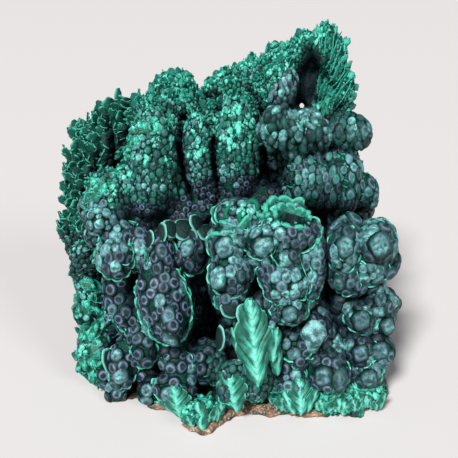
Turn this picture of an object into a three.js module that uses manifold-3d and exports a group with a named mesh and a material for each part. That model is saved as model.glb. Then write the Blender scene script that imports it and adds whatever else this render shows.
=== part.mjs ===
// A malachite specimen: a clump of columns and rounded lobes, grown together on a thin plate of host rock.
// Millimetres, +Z up, the front towards -Y. The origin is under the middle of the base.
import * as THREE from "three";
import { mergeVertices } from "three/addons/utils/BufferGeometryUtils.js";
import Module from "manifold-3d";

const wasm = await Module();
wasm.setup();

// ---- Driving dimensions ----
const HEIGHT = 200; // the peak, above the surface that it stands on
const WIDTH = 194; // left edge to right edge
const DEPTH = 118; // front tip to back
const BROAD_LOBE = 50; // a lobe with a half-size over this is divided more finely
const BROAD_FACETS = 2; // divisions of a broad lobe's icosahedron
const LOBE_FACETS = 1; // and of every other lobe's
const SWELL = 0.07; // how far the swellings lift a lobe's surface, as a fraction of its radius
const GAP = 0.3; // clear space between the malachite and its host rock
const CUT_LEVEL = 0.5; // the malachite ends here, just clear of the surface below
const ROCK_THICKNESS = 7; // the host rock at its middle
const ROCK_RIM = 3.5; // and at its broken edge
const ROCK_RINGS = 4; // rings of facets from its middle to its edge
const ROCK_BUMPS = 0.8; // how far its upper side rises and falls
const WINDOW_RADIUS = 2.6; // the small hole under the peak
const WINDOW_MIDDLE = [41, 25, 158];
const WINDOW_DIP = 12; // degrees that it drops from front to back
const WINDOW_TURN = 7; // degrees that it turns towards the right edge

// ---- The malachite ----
// Each row is one lobe: the place of its centre (x, y, z), then its half-width, half-depth and half-height.

// The thick wall at the back, from left to right, which the columns stand against.
const BACK_WALL = [
  [-60, 24, 52, 31, 29, 62],
  [-25, 27, 72, 34, 29, 84],
  [14, 28, 78, 36, 28, 86],
  [56, 24, 66, 33, 29, 76],
  [-4, 34, 12, 76, 22, 18],
];

// The scalloped leafy edge at the back left, and the flap that sticks out at the side.
const LEAFY_EDGE = [
  [-30, 34, 140, 22, 15, 37],
  [-54, 36, 131, 21, 11, 34],
  [-78, 32, 116, 17, 11, 38],
  [-88, 26, 108, 11, 10, 30],
  [-92, 20, 84, 10, 8, 17],
  [-84, 6, 68, 10, 11, 16],
];

// The upright columns, from left to right.
const COLUMNS = [
  [-67, 2, 106, 16, 16, 25],
  [-43, 10, 122, 16, 14, 34],
  [-18, 15, 132, 9, 12, 30],
  [4, 16, 136, 14, 13, 34],
];

// The peak: a ridge that climbs to the right, its highest point, and the fibrous curtain that hangs from it.
const PEAK = [
  [0, 34, 160, 14, 12, 17],
  [13, 33, 170, 12, 12, 16],
  [28, 31, 177, 13, 11, 17],
  [42, 32, 186, 9, 7, 10],
  [51, 31, 188, 8, 9, 13],
  [59, 29, 180, 8, 10, 18],
  [62, 26, 162, 9, 11, 21],
  [28, 22, 164, 9, 10, 16],
  [46, 24, 148, 15, 11, 13],
  [45, 36, 168, 14, 5, 24],
];

// The knobby ledge under the peak and the curtain of growth below it.
const LEDGE = [
  [27, 6, 149, 10, 12, 10],
  [41, 4, 148, 12, 12, 11],
  [64, 5, 149, 12, 12, 11],
  [42, 3, 126, 14, 13, 19],
  [60, 2, 124, 16, 13, 20],
  [72, 4, 112, 9, 12, 14],
];

// The three tall lobed growths that stand in front on the right half.
const FRONT_ROW = [
  [8, -13, 107, 12, 16, 11],
  [28, -24, 109, 16, 14, 12],
  [22, -29, 94, 14, 13, 17],
  [36, -26, 92, 13, 14, 20],
  [32, -29, 71, 16, 13, 22],
  [-1, -27, 81, 10, 13, 27],
  [61, -22, 92, 10, 14, 17],
  [77, -20, 93, 12, 14, 18],
  [68, -21, 73, 17, 13, 12],
];

// The stout lower lobes on the right, down to the base.
const LOWER_RIGHT = [
  [72, -22, 52, 10, 11, 12],
  [84, -18, 53, 11, 12, 15],
  [45, -30, 46, 10, 11, 14],
  [38, -31, 34, 15, 13, 13],
  [58, -31, 23, 13, 14, 18],
  [75, -25, 27, 17, 15, 16],
  [76, -26, 10, 14, 17, 13],
  [62, -35, 8, 19, 15, 10],
  [45, -8, 40, 44, 26, 44],
];

// The feathery fans low down in the middle of the front.
const FANS = [
  [16, -37, 52, 11, 9, 24],
  [13, -41, 26, 12, 10, 20],
  [1, -45, 22, 10, 9, 15],
  [-13, -50, 7, 10, 10, 10],
  [36, -39, 16, 14, 10, 15],
  [-28, -36, 12, 11, 9, 14],
];

// The low growth inside the hollow on the left, and its flaky rim.
const HOLLOW = [
  [-61, -10, 81, 10, 11, 17],
  [-49, -5, 86, 11, 10, 14],
  [-35, -7, 79, 11, 11, 20],
  [-22, -5, 83, 8, 10, 16],
  [-33, -13, 52, 18, 15, 27],
  [-62, -11, 52, 11, 12, 21],
  [-48, -20, 31, 13, 12, 18],
  [-60, -22, 16, 11, 11, 13],
  [-27, -22, 26, 13, 11, 11],
  [-10, -26, 22, 12, 14, 16],
  [-41, -31, 8, 11, 11, 9],
  [-82, -5, 45, 10, 12, 24],
  [-76, -12, 20, 14, 14, 24],
  [-66, -20, 8, 11, 11, 12],
];

// ---- The host rock ----
// Corners of its broken outline, anticlockwise from the front left.
const ROCK_OUTLINE = [
  [-79, -10], [-71, -25], [-60, -30], [-50, -31], [-43, -39], [-30, -40], [-22, -54], [-13, -61], [-6, -55],
  [3, -46], [18, -44], [34, -45], [52, -46], [62, -41], [78, -40], [84, -24], [84, 4], [80, 26], [62, 42],
  [36, 51], [6, 54], [-24, 52], [-50, 50], [-68, 42], [-80, 20],
];

// Low swellings over a surface, between -1 and 1, which never repeat exactly.
function swelling(x, y, z) {
  const across = Math.sin(0.31 * x + 0.17 * z);
  const deep = Math.sin(0.27 * y - 0.23 * x + 1.3);
  const upright = Math.sin(0.29 * z + 0.19 * y + 2.1);
  return (across + deep + upright) / 3;
}

function toSolid(geometry) {
  geometry.deleteAttribute("normal");
  geometry.deleteAttribute("uv");
  const merged = mergeVertices(geometry, 1e-4);
  return new wasm.Manifold(
    new wasm.Mesh({ numProp: 3, vertProperties: merged.attributes.position.array, triVerts: merged.index.array }),
  );
}

function toMesh(name, solid, material) {
  const { vertProperties, triVerts } = solid.getMesh();
  const geometry = new THREE.BufferGeometry();
  geometry.setAttribute("position", new THREE.BufferAttribute(new Float32Array(vertProperties), 3));
  geometry.setIndex(new THREE.BufferAttribute(new Uint32Array(triVerts), 1));
  geometry.computeVertexNormals();
  const mesh = new THREE.Mesh(geometry, material);
  mesh.name = name;
  return mesh;
}

// One lobe: a ball stretched to its half-sizes, with the swellings lifting or sinking its surface.
function lobe([x, y, z, halfWidth, halfDepth, halfHeight]) {
  const broad = Math.max(halfWidth, halfDepth, halfHeight) > BROAD_LOBE;
  const ball = new THREE.IcosahedronGeometry(1, broad ? BROAD_FACETS : LOBE_FACETS);
  const points = ball.attributes.position;
  const point = new THREE.Vector3();
  for (let i = 0; i < points.count; i += 1) {
    point.fromBufferAttribute(points, i).multiply(new THREE.Vector3(halfWidth, halfDepth, halfHeight));
    point.multiplyScalar(1 + SWELL * swelling(point.x + x, point.y + y, point.z + z));
    points.setXYZ(i, point.x + x, point.y + y, point.z + z);
  }
  return toSolid(ball);
}

// A plate with a flat underside and a bumpy top, grown outwards and upwards by margin.
function rockPlate(margin) {
  const count = ROCK_OUTLINE.length;
  const positions = [];
  const faces = [];
  const ringPoint = (corner, ring) => {
    const [x, y] = ROCK_OUTLINE[corner];
    const reach = (ring / ROCK_RINGS) * (1 + margin / Math.hypot(x, y));
    return [x * reach, y * reach];
  };
  const topHeight = (x, y, ring) => {
    const slope = ROCK_THICKNESS + (ROCK_RIM - ROCK_THICKNESS) * (ring / ROCK_RINGS) ** 2;
    return slope + ROCK_BUMPS * swelling(3 * x, 3 * y, 0) + margin;
  };
  for (let ring = 1; ring <= ROCK_RINGS; ring += 1) {
    for (let corner = 0; corner < count; corner += 1) {
      const [x, y] = ringPoint(corner, ring);
      positions.push(x, y, topHeight(x, y, ring));
    }
  }
  for (let corner = 0; corner < count; corner += 1) {
    const [x, y] = ringPoint(corner, ROCK_RINGS);
    positions.push(x, y, -margin);
  }
  const topCentre = positions.length / 3;
  positions.push(0, 0, topHeight(0, 0, 0), 0, 0, -margin);
  const bottomCentre = topCentre + 1;
  for (let corner = 0; corner < count; corner += 1) {
    const next = (corner + 1) % count;
    faces.push(topCentre, corner, next);
    for (let ring = 0; ring < ROCK_RINGS; ring += 1) {
      const inner = ring * count;
      const outer = inner + count;
      faces.push(inner + corner, outer + corner, outer + next, inner + corner, outer + next, inner + next);
    }
    const underside = ROCK_RINGS * count;
    faces.push(bottomCentre, underside + next, underside + corner);
  }
  const plate = new THREE.BufferGeometry();
  plate.setAttribute("position", new THREE.BufferAttribute(new Float32Array(positions), 3));
  plate.setIndex(faces);
  return toSolid(plate);
}

// The round bar that cuts the hole under the peak, through from front to back.
function windowBar() {
  const bar = new THREE.CylinderGeometry(WINDOW_RADIUS, WINDOW_RADIUS, 0.7 * DEPTH, 10);
  bar.rotateX(THREE.MathUtils.degToRad(-WINDOW_DIP));
  bar.rotateZ(THREE.MathUtils.degToRad(-WINDOW_TURN));
  bar.translate(...WINDOW_MIDDLE);
  return toSolid(bar);
}

const everyLobe = [
  ...BACK_WALL, ...LEAFY_EDGE, ...COLUMNS, ...PEAK, ...LEDGE, ...FRONT_ROW, ...LOWER_RIGHT, ...FANS, ...HOLLOW,
];
const grown = everyLobe.map(lobe).reduce((clump, next) => clump.add(next));
const below = new THREE.BoxGeometry(3 * WIDTH, 3 * DEPTH, HEIGHT);
below.translate(0, 0, CUT_LEVEL - HEIGHT / 2);
const malachiteSolid = grown.subtract(toSolid(below)).subtract(rockPlate(GAP)).subtract(windowBar());

const malachiteMaterial = new THREE.MeshStandardMaterial({ color: 0x1c5a4c, roughness: 0.4, metalness: 0 });
const rockMaterial = new THREE.MeshStandardMaterial({ color: 0x8a6a48, roughness: 0.9, metalness: 0 });

const specimen = new THREE.Group();
specimen.add(toMesh("malachite", malachiteSolid, malachiteMaterial));
specimen.add(toMesh("matrix", rockPlate(0), rockMaterial));

// The origin goes under the middle of the whole specimen.
const box = new THREE.Box3().setFromObject(specimen);
const middle = box.getCenter(new THREE.Vector3());
specimen.position.set(-middle.x, -middle.y, 0);

export default specimen;
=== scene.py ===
# A malachite specimen: columns and ringed lobes of dark green malachite, grown together, with leafy plates
# behind, fibrous blades at the top, feathery fans at the foot and a thin plate of brown host rock below.
# Metres, +Z up, the front towards -Y.
import math

import bmesh
import bpy
import numpy as np
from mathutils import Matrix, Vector
from mathutils.bvhtree import BVHTree
from mathutils.kdtree import KDTree


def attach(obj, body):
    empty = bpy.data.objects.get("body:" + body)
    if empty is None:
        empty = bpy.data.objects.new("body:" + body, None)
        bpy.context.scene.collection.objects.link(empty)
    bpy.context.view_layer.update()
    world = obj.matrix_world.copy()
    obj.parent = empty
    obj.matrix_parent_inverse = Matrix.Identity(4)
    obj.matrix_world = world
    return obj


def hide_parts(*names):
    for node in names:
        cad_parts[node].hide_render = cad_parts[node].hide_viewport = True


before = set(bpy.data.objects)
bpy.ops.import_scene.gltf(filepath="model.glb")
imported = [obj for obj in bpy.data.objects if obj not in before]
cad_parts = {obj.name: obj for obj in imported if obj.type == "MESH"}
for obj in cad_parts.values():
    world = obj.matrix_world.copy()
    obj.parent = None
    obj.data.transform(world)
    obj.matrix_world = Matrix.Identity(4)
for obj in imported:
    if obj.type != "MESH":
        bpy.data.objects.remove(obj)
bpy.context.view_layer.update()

MM = 0.001
FULL_TURN = 6.28
chance = np.random.default_rng(20817)


# ---- Camera, floor and light ----
# The view is from a little above, looking down on the front of the specimen, in a plain pale room.
# The light is soft and comes from above and in front, as from a wide window, with a weak fill on the right.
view = bpy.data.cameras.new("camera")
view.lens = 46.3
view.sensor_width = 36
view.clip_start = 0.01
camera = bpy.data.objects.new("camera", view)
camera.location = (3.2 * MM, -301 * MM, 225 * MM)
camera.rotation_euler = (math.radians(90 - 23.4), 0, 0)
bpy.context.collection.objects.link(camera)
bpy.context.scene.camera = camera

paper = bpy.data.materials.new("pale_floor")
paper.use_nodes = True
paper.node_tree.nodes["Principled BSDF"].inputs["Base Color"].default_value = (0.57, 0.547, 0.542, 1)
paper.node_tree.nodes["Principled BSDF"].inputs["Roughness"].default_value = 0.8
bpy.ops.mesh.primitive_plane_add(size=30, location=(0, 0, 0))
floor = bpy.context.object
floor.name = "floor"
floor.data.materials.append(paper)

room = bpy.data.worlds.new("room")
room.use_nodes = True
walls = room.node_tree.nodes["Background"]
walls.inputs["Color"].default_value = (0.93, 0.95, 1, 1)
walls.inputs["Strength"].default_value = 0.15
bpy.context.scene.world = room
bpy.context.scene.view_settings.view_transform = "Standard"


def window(name, toward, spread, strength):
    """A soft light from far away that shines toward one way, its edges blurred by spread degrees."""
    light = bpy.data.lights.new(name, "SUN")
    light.angle = math.radians(spread)
    light.energy = strength
    lamp = bpy.data.objects.new(name, light)
    lamp.rotation_euler = Vector(toward).to_track_quat("-Z", "Y").to_euler()
    bpy.context.collection.objects.link(lamp)


window("window_left", (0.35, 0.66, -0.75), 12.8, 5.3)
window("window_right", (-0.6, 0.55, -0.5), 20, 0.9)


# ---- The grown mass ----
# The body of the specimen is one mass of malachite. It starts as the solid of lobes, is skinned over
# finely, drawn in, and then swelled again by long pods that hang down over each other.
class Wire:
    """One output of a material's node. Sums on it add Math nodes."""

    def __init__(self, recipe, socket):
        self.recipe = recipe
        self.socket = socket

    def _math(self, operation, *values):
        return self.recipe.node("ShaderNodeMath", {"operation": operation}, dict(enumerate(values)))

    def __add__(self, other):
        return self._math("ADD", self, other)

    __radd__ = __add__

    def __sub__(self, other):
        return self._math("SUBTRACT", self, other)

    def __rsub__(self, other):
        return self._math("SUBTRACT", other, self)

    def __mul__(self, other):
        return self._math("MULTIPLY", self, other)

    __rmul__ = __mul__

    def __abs__(self):
        return self._math("ABSOLUTE", self)

    def sine(self):
        return self._math("SINE", self)

    def step(self, low, high):
        """Rises smoothly from 0 at low to 1 at high, or falls if low is the greater."""
        start, end, ends = (low, high, (0, 1)) if low < high else (high, low, (1, 0))
        return self.recipe.node(
            "ShaderNodeMapRange", {"interpolation_type": "SMOOTHSTEP"},
            {"Value": self, "From Min": start, "From Max": end, "To Min": ends[0], "To Max": ends[1]},
        )


class Recipe:
    """A material's nodes. node() adds any of them, given its type, its settings and its sockets."""

    def __init__(self, name):
        self.material = bpy.data.materials.new(name)
        self.material.use_nodes = True
        self.tree = self.material.node_tree
        self.shader = self.tree.nodes["Principled BSDF"]

    def feed(self, socket, value):
        if isinstance(value, Wire):
            self.tree.links.new(value.socket, socket)
        elif isinstance(value, tuple) and len(value) == 3 and socket.type == "RGBA":
            socket.default_value = (*value, 1)
        else:
            socket.default_value = value

    def node(self, kind, settings, sockets, output=0):
        made = self.tree.nodes.new(kind)
        for name, value in settings.items():
            setattr(made, name, value)
        for name, value in sockets.items():
            if isinstance(name, int):
                socket = made.inputs[name]
            else:
                socket = next(s for s in made.inputs if name in (s.identifier, s.name) and s.enabled)
            self.feed(socket, value)
        outputs = [s for s in made.outputs if s.enabled]
        return Wire(self, outputs[output] if isinstance(output, int) else made.outputs[output])

    def attribute(self, name):
        return self.node("ShaderNodeAttribute", {"attribute_name": name}, {}, "Fac")

    def place(self):
        return self.node("ShaderNodeTexCoord", {}, {}, "Object")

    def noise(self, size, detail=2.0, stretch=(1, 1, 1)):
        """Cloudy noise from 0 to 1, its patches about size metres across."""
        spot = self.node("ShaderNodeMapping", {}, {"Vector": self.place(), "Scale": stretch})
        sockets = {"Vector": spot, "Scale": 1 / size, "Detail": detail}
        return self.node("ShaderNodeTexNoise", {}, sockets, "Fac")

    def blend(self, mask, low, high):
        """One colour where the mask is 0 and another where it is 1."""
        return self.node(
            "ShaderNodeMix", {"data_type": "RGBA"},
            {"Factor_Float": mask, "A_Color": low, "B_Color": high},
        )

    def finish(self, color, roughness, bump, bump_depth, **constants):
        """The finished material: what varies is linked, and the constants go on the shader's own sockets."""
        self.feed(self.shader.inputs["Base Color"], color)
        self.feed(self.shader.inputs["Roughness"], roughness)
        raised = self.node("ShaderNodeBump", {}, {"Strength": 1.0, "Distance": bump_depth, "Height": bump})
        self.feed(self.shader.inputs["Normal"], raised)
        for name, value in constants.items():
            self.feed(self.shader.inputs[name.replace("_", " ")], value)
        return self.material


NEAR_BLACK = (0.002, 0.009, 0.012)
DEEP_TEAL = (0.002, 0.032, 0.027)
SHADED_EMERALD = (0.002, 0.075, 0.05)


def creases():
    """Dark green between the lobes, emerald where the noise lets it through. Where the mass sees little of
    the room, both give way to near-black as painted shade.
    """
    r = Recipe("malachite_creases")
    patches = r.noise(9 * MM).step(0.42, 0.62)
    grain = r.noise(1.1 * MM, 4.0)
    # lit: painted shade, from how much of the room each place sees.
    lit = r.attribute("open").step(0.1, 0.7)
    green = r.blend(patches * 0.7 * lit, NEAR_BLACK, DEEP_TEAL)
    color = r.blend(grain.step(0.4, 0.65) * lit * 0.8, green, SHADED_EMERALD)
    return r.finish(color, 0.5 + 0.2 * grain, grain, 0.4 * MM, Specular_IOR_Level=0.15)


def arrays_of(piece):
    """A piece's vertices and their normals, as arrays."""
    count = len(piece.data.vertices)
    places = np.empty(count * 3, np.float32)
    piece.data.vertices.foreach_get("co", places)
    normals = np.empty(count * 3, np.float32)
    piece.data.vertices.foreach_get("normal", normals)
    return places.reshape(-1, 3).astype(float), normals.reshape(-1, 3).astype(float)


def corners_of(piece):
    """A piece's triangles, as rows of three vertex numbers."""
    piece.data.calc_loop_triangles()
    corners = np.empty(len(piece.data.loop_triangles) * 3, np.int32)
    piece.data.loop_triangles.foreach_get("vertices", corners)
    return corners.reshape(-1, 3)


def unit(vectors):
    """The same ways, each one long."""
    return vectors / np.linalg.norm(vectors, axis=-1, keepdims=True)


def apply_modifiers(piece):
    """Makes a piece's modifiers part of its mesh, in their order."""
    bpy.ops.object.select_all(action="DESELECT")
    piece.select_set(True)
    bpy.context.view_layer.objects.active = piece
    for modifier in list(piece.modifiers):
        bpy.ops.object.modifier_apply(modifier=modifier.name)


def skinned(piece, fineness, smoothing):
    """Skins a piece over again with even faces, melting together whatever overlaps."""
    skin = piece.modifiers.new("skin", "REMESH")
    skin.mode = "VOXEL"
    skin.voxel_size = fineness
    soften = piece.modifiers.new("soften", "SMOOTH")
    soften.factor = 0.5
    soften.iterations = smoothing
    apply_modifiers(piece)


def skin_of(node, name, material, fineness, smoothing):
    """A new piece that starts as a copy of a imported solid, merged and skinned over finely."""
    piece = bpy.data.objects.new(name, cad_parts[node].data.copy())
    bpy.context.collection.objects.link(piece)
    piece.data.materials.clear()
    piece.data.materials.append(material)
    bpy.ops.object.select_all(action="DESELECT")
    piece.select_set(True)
    bpy.context.view_layer.objects.active = piece
    bpy.ops.object.mode_set(mode="EDIT")
    bpy.ops.mesh.select_all(action="SELECT")
    bpy.ops.mesh.remove_doubles(threshold=0.01 * MM)
    bpy.ops.object.mode_set(mode="OBJECT")
    skinned(piece, fineness, smoothing)
    return piece


def moved(piece, places):
    """Moves a piece's vertices to new places."""
    piece.data.vertices.foreach_set("co", places.ravel())
    piece.data.update()


def smoothed(mesh):
    """Shades all of a mesh's faces smooth."""
    mesh.polygons.foreach_set("use_smooth", [True] * len(mesh.polygons))


def mark(mesh, traits):
    """Writes a number for each vertex under each trait, for the materials to read."""
    for trait, values in traits.items():
        mesh.attributes.new(trait, "FLOAT", "POINT").data.foreach_set("value", values.astype(np.float32))


def bulk(piece):
    """A piece's faces, ready to be asked what lies nearest or along a line."""
    mesh = piece.data
    return BVHTree.FromPolygons([v.co for v in mesh.vertices], [p.vertices for p in mesh.polygons])


def touch(solid, x, z):
    """The place on the front of a solid at x and z millimetres, and which way it faces."""
    place, out, _, _ = solid.ray_cast(Vector((x * MM, -0.2, z * MM)), Vector((0, 1, 0)))
    if place is None:
        place, out, _, _ = solid.find_nearest(Vector((x * MM, 0, z * MM)))
    return np.array(place), np.array(out)


def ramble(spots, size):
    """Smooth random values of about -1 to 1, in patches about size across."""
    waves = unit(chance.normal(size=(9, 3))) * math.pi / size
    return np.sin(spots @ waves.T + chance.uniform(0, FULL_TURN, 9)).sum(1) / 2.6


# The small hole right through the peak slopes down to the back. The dark cleft above it is given as x and z.
WINDOW_MIDDLE = np.array([44, 27, 158]) * MM
WINDOW_WAY = unit(np.array([0.119, 0.971, -0.208]))
CLEFT = ((48, 184), (47, 162))


def from_window(spots):
    """How far each point is from the line through the small hole in the peak."""
    away = spots - WINDOW_MIDDLE
    return np.linalg.norm(away - (away @ WINDOW_WAY)[:, None] * WINDOW_WAY, axis=1)


def from_line(spots, line):
    """How far each point is, seen from the front, from a bent line given as x and z in millimetres."""
    ends = np.array(line) * MM
    flat = spots[:, [0, 2]]
    near = np.full(len(spots), np.inf)
    for start, end in zip(ends[:-1], ends[1:]):
        along = np.clip((flat - start) @ (end - start) / ((end - start) @ (end - start)), 0, 1)
        near = np.minimum(near, np.linalg.norm(flat - start - along[:, None] * (end - start), axis=1))
    return near


SKIN = 1.6 * MM
mass = skin_of("malachite", "grown_mass", creases(), SKIN, 5)
places, normals = arrays_of(mass)
# The skin is drawn in, less near the hole, so that the lobes planted on it reach back out to its old place.
drawn_in = 2.8 * MM * np.clip(from_window(places) / (16 * MM), 0.1, 1)
moved(mass, places - normals * drawn_in[:, None])

# The dark gaps between the columns: the line that each follows down the front as x and z in millimetres, its
# half-width and its depth.
GAPS = [
    ([(-22, 154), (-22, 130), (-18, 116), (-15, 104)], 3.0, 13),
    ([(-5, 152), (-5, 131), (-3, 119)], 2.6, 11), ([(21, 153), (23, 138), (25, 124), (31, 114)], 5.0, 16),
    ([(-3, 170), (-5, 156)], 3.0, 7), ([(-48, 152), (-56, 132), (-63, 122)], 3.0, 8),
    ([(-9, 98), (-9, 60), (-8, 30)], 3.0, 6), ([(14, 108), (13, 90), (15, 64)], 2.2, 9),
    ([(55, 102), (54, 92), (57, 66)], 5.4, 22), ([(56, 68), (74, 66), (96, 66)], 4.6, 18),
    ([(58, 64), (61, 50), (68, 45), (80, 43)], 4.0, 16), ([(67, 44), (69, 30), (66, 17)], 2.6, 10),
    ([(47, 62), (50, 36), (47, 20)], 2.4, 8), ([(48, 184), (47, 172), (47, 162)], 5.2, 22),
    ([(51, 158), (54, 150), (56, 144)], 3.0, 9), ([(46, 142), (60, 141), (84, 140)], 2.4, 5),
    ([(-64, 112), (-62, 96), (-68, 78), (-66, 50)], 2.2, 5),
    ([(-40, 100), (-41, 80), (-47, 60), (-38, 36), (-20, 34)], 2.2, 6),
]
places, normals = arrays_of(mass)
front = np.clip(-normals[:, 1] * 2 + 0.4, 0, 1)
sunk_in = np.zeros(len(places))
for line, half_width, depth in GAPS:
    cut = np.clip(1 - (from_line(places, line) / (half_width * MM)) ** 2, 0, 1) ** 0.7
    sunk_in += depth * MM * cut * front
# No gap is sunk so far that it comes near the back.
whole = bulk(mass)
for index in np.flatnonzero(sunk_in > MM):
    _, _, _, room_behind = whole.ray_cast(Vector(places[index] + [0, MM, 0]), Vector((0, 1, 0)))
    sunk_in[index] = min(sunk_in[index], max((room_behind or 0) - 7 * MM, 0))
places[:, 1] += sunk_in
moved(mass, places)

# The hanging pods, in millimetres: x and z of the middle, half-width, half-height, how far each stands out,
# and how many degrees its foot swings to the right.
PODS = [
    (-59, 85, 9.5, 12, 4, 4), (-46, 86, 7.5, 11, 3, -6), (-33, 82, 7, 15, 5, 10), (-17, 84, 8, 11, 5, 0),
    (-33, 60, 14, 24, 5, 12), (-30, 56, 10, 18, 8.5, 14), (-28, 50, 7, 9, 12, 6), (-50, 47, 8, 11, 3, 0),
    (-57, 24, 8, 13, 5, 0), (-44, 31, 6, 8, 4, 0), (-27, 26, 8, 7, 4, 0), (-31, 15, 7, 6, 4, 0),
    (3, 100, 10, 9, 5, 0), (4, 85, 10.5, 11, 6, 4), (5, 70, 9, 7, 4, 0), (9, 111, 9, 7, 3, -8),
    (34, 109, 14, 11, 4, 0), (20, 103, 8, 7, 6, 0), (31, 98, 5, 6, 7, 0), (32, 83, 12, 13, 6, 0),
    (46, 92, 7, 22, 2, -4), (35, 66, 8, 9, 5, 0), (62, 97, 7, 12, 5, -6), (78, 99, 9.5, 10, 6, 0),
    (76, 84, 9, 8, 5, 0), (63, 80, 7, 9, 4, 0), (86, 86, 7, 9, 3, 0), (60, 108, 7, 6, 1, 0),
    (74, 55, 7, 7, 5, 0), (85, 60, 7, 6, 5, 0), (87, 48, 6, 6, 4, 0), (72, 45, 6, 6, 3, 0),
    (48, 49, 7, 10, 7, 0), (38, 42, 8, 7, 4, 0), (57, 27, 10, 12, 6, 0), (75, 36, 7, 8, 4, 0),
    (87, 34, 7, 8, 4, 0), (79, 22, 7, 7, 4, 0), (30, 151, 8, 10, 3, 0), (41, 148, 6, 6, 4, 0),
    (51, 147, 6, 6, 3, 0), (61, 150, 6, 8, 3.5, 0), (71, 149, 6.5, 9, 3.5, 0), (77, 117, 7, 10, 3, 0),
    (40, 128, 5.5, 15, 3, 8), (49, 123, 6, 15, 3.5, 4), (58, 124, 6, 15, 3, 0), (67, 122, 6, 16, 3, -4),
    (-38, 134, 12, 27, 3, 0), (-43, 112, 8, 12, 2, 0), (-13, 134, 6.5, 24, 3, 0), (-8, 116, 5, 12, 2, 0),
    (8, 136, 11.5, 27, 3, 0), (8, 111, 14, 8, 3, 0), (-66, 104, 9, 8, 4, 0), (-57, 95, 9, 8, 4, 0),
    (-70, 92, 7, 8, 3, 0), (35, 173, 4, 11, 4, 6), (29, 165, 4, 9, 3, 0),
]


def tangents(normals):
    """For each normal, the way down the surface and the way across it."""
    down = np.array([0, 0, -1.0]) - normals * (normals @ np.array([0, 0, -1.0]))[:, None]
    short = np.linalg.norm(down, axis=1) < 0.15
    down[short] = np.cross(normals[short], [1.0, 0.0, 0.0])
    return unit(down), np.cross(normals, unit(down))


def scatter(piece, count):
    """Points spread evenly over a piece's faces, with the smooth normals there."""
    places, normals = arrays_of(piece)
    corners = corners_of(piece)
    a, b, c = (places[corners[:, k]] for k in range(3))
    area = np.linalg.norm(np.cross(b - a, c - a), axis=1)
    picked = chance.choice(len(corners), count, p=area / area.sum())
    u, v = chance.random(count), chance.random(count)
    over = u + v > 1
    u[over], v[over] = 1 - u[over], 1 - v[over]
    weights = np.stack([1 - u - v, u, v], axis=1)[:, :, None]
    return (places[corners[picked]] * weights).sum(1), unit((normals[corners[picked]] * weights).sum(1))


def tree_of(spots):
    """Points, ready to be asked which of them lie nearest."""
    tree = KDTree(len(spots))
    for index, spot in enumerate(spots):
        tree.insert(spot, index)
    tree.balance()
    return tree


def settle(spots, sizes, first=None):
    """Which points stay when the largest go first and each keeps the rest at the sum of their sizes."""
    tree = tree_of(spots)
    free = np.ones(len(spots), bool)
    kept = []
    for index in np.argsort(-(sizes if first is None else first), kind="stable"):
        if not free[index]:
            continue
        kept.append(index)
        for _, other, distance in tree.find_range(spots[index], sizes[index] + sizes.max()):
            if distance < sizes[index] + sizes[other]:
                free[other] = False
    return np.array(kept)


def axes(*stretches):
    """Turns made from three axes, each a way and how far the shape is stretched along it."""
    return np.stack([way * size[:, None] for way, size in stretches], axis=2)


def copies_of(places, corners, turns, spots):
    """A shape's vertices and triangles many times over, turned and sized by three axes at each spot."""
    many = np.einsum("nij,vj->nvi", turns, places) + spots[:, None, :]
    triangles = corners[None] + np.arange(len(spots))[:, None, None] * len(places)
    inside_out = np.linalg.det(turns) < 0
    triangles[inside_out] = triangles[inside_out][:, :, ::-1]
    return many.reshape(-1, 3), triangles.reshape(-1, 3)


def piece_from(name, places, corners, smooth=True):
    """A new piece made from arrays of vertices and triangles."""
    mesh = bpy.data.meshes.new(name)
    mesh.vertices.add(len(places))
    mesh.vertices.foreach_set("co", places.ravel())
    mesh.loops.add(corners.size)
    mesh.loops.foreach_set("vertex_index", corners.ravel())
    mesh.polygons.add(len(corners))
    mesh.polygons.foreach_set("loop_start", np.arange(0, corners.size, 3))
    mesh.polygons.foreach_set("use_smooth", [smooth] * len(corners))
    mesh.update(calc_edges=True)
    piece = bpy.data.objects.new(name, mesh)
    bpy.context.collection.objects.link(piece)
    return piece


def started(basic_shape, **sizes):
    """A new piece that starts as one of the basic shapes."""
    bpy.ops.object.select_all(action="DESELECT")
    basic_shape(**sizes)
    return bpy.context.object


# Each pod is a stretched ball whose foot leans out. Those of the table come first, and smaller ones fill in.
solid = bulk(mass)
pod_spots, pod_facing, pod_sizes, pod_swing = [], [], [], []
FRONT_TOP = 118
for x, z, half_width, half_height, out, swing in PODS:
    place, facing = touch(solid, x, z)
    pod_spots.append(place)
    pod_facing.append(unit(facing * [1, 1, 0.4] + [0, -0.8, 0]))
    # The pods of the front stand out further than those of the columns.
    pod_sizes.append((half_width, half_height, out * (1.35 if z < FRONT_TOP else 1.0) + 2.0))
    pod_swing.append(swing)
spots, facing = scatter(mass, 5000)
width = chance.uniform(3.4, 6.2, len(spots))
lone = chance.random(len(spots)) < 0.15
# Small pods keep away from the hole and are few on the columns: those that aren't wanted shrink to a speck.
on_columns = (spots[:, 2] > 108 * MM) & (spots[:, 1] < 45 * MM)
SPECK = 0.1
width[(from_window(spots) < 14 * MM) | (on_columns & ~lone)] = SPECK
kept = settle(spots, width * 0.85 * MM)
kept = kept[width[kept] > SPECK]
spots, facing, width = spots[kept], facing[kept], width[kept]
pod_spots = np.concatenate([pod_spots, spots])
pod_facing = np.concatenate([pod_facing, facing])
tall = width * chance.uniform(1.2, 1.9, len(kept))
small = np.stack([width, tall, width * chance.uniform(0.3, 0.55, len(kept))], axis=1)
pod_sizes = np.concatenate([pod_sizes, small]) * MM
pod_swing = np.concatenate([pod_swing, chance.normal(0, 12, len(kept))])
pod_down, pod_across = tangents(pod_facing)
turn = np.radians(pod_swing)[:, None]
pod_down, pod_across = (
    pod_down * np.cos(turn) + pod_across * np.sin(turn),
    pod_across * np.cos(turn) - pod_down * np.sin(turn),
)
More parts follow.
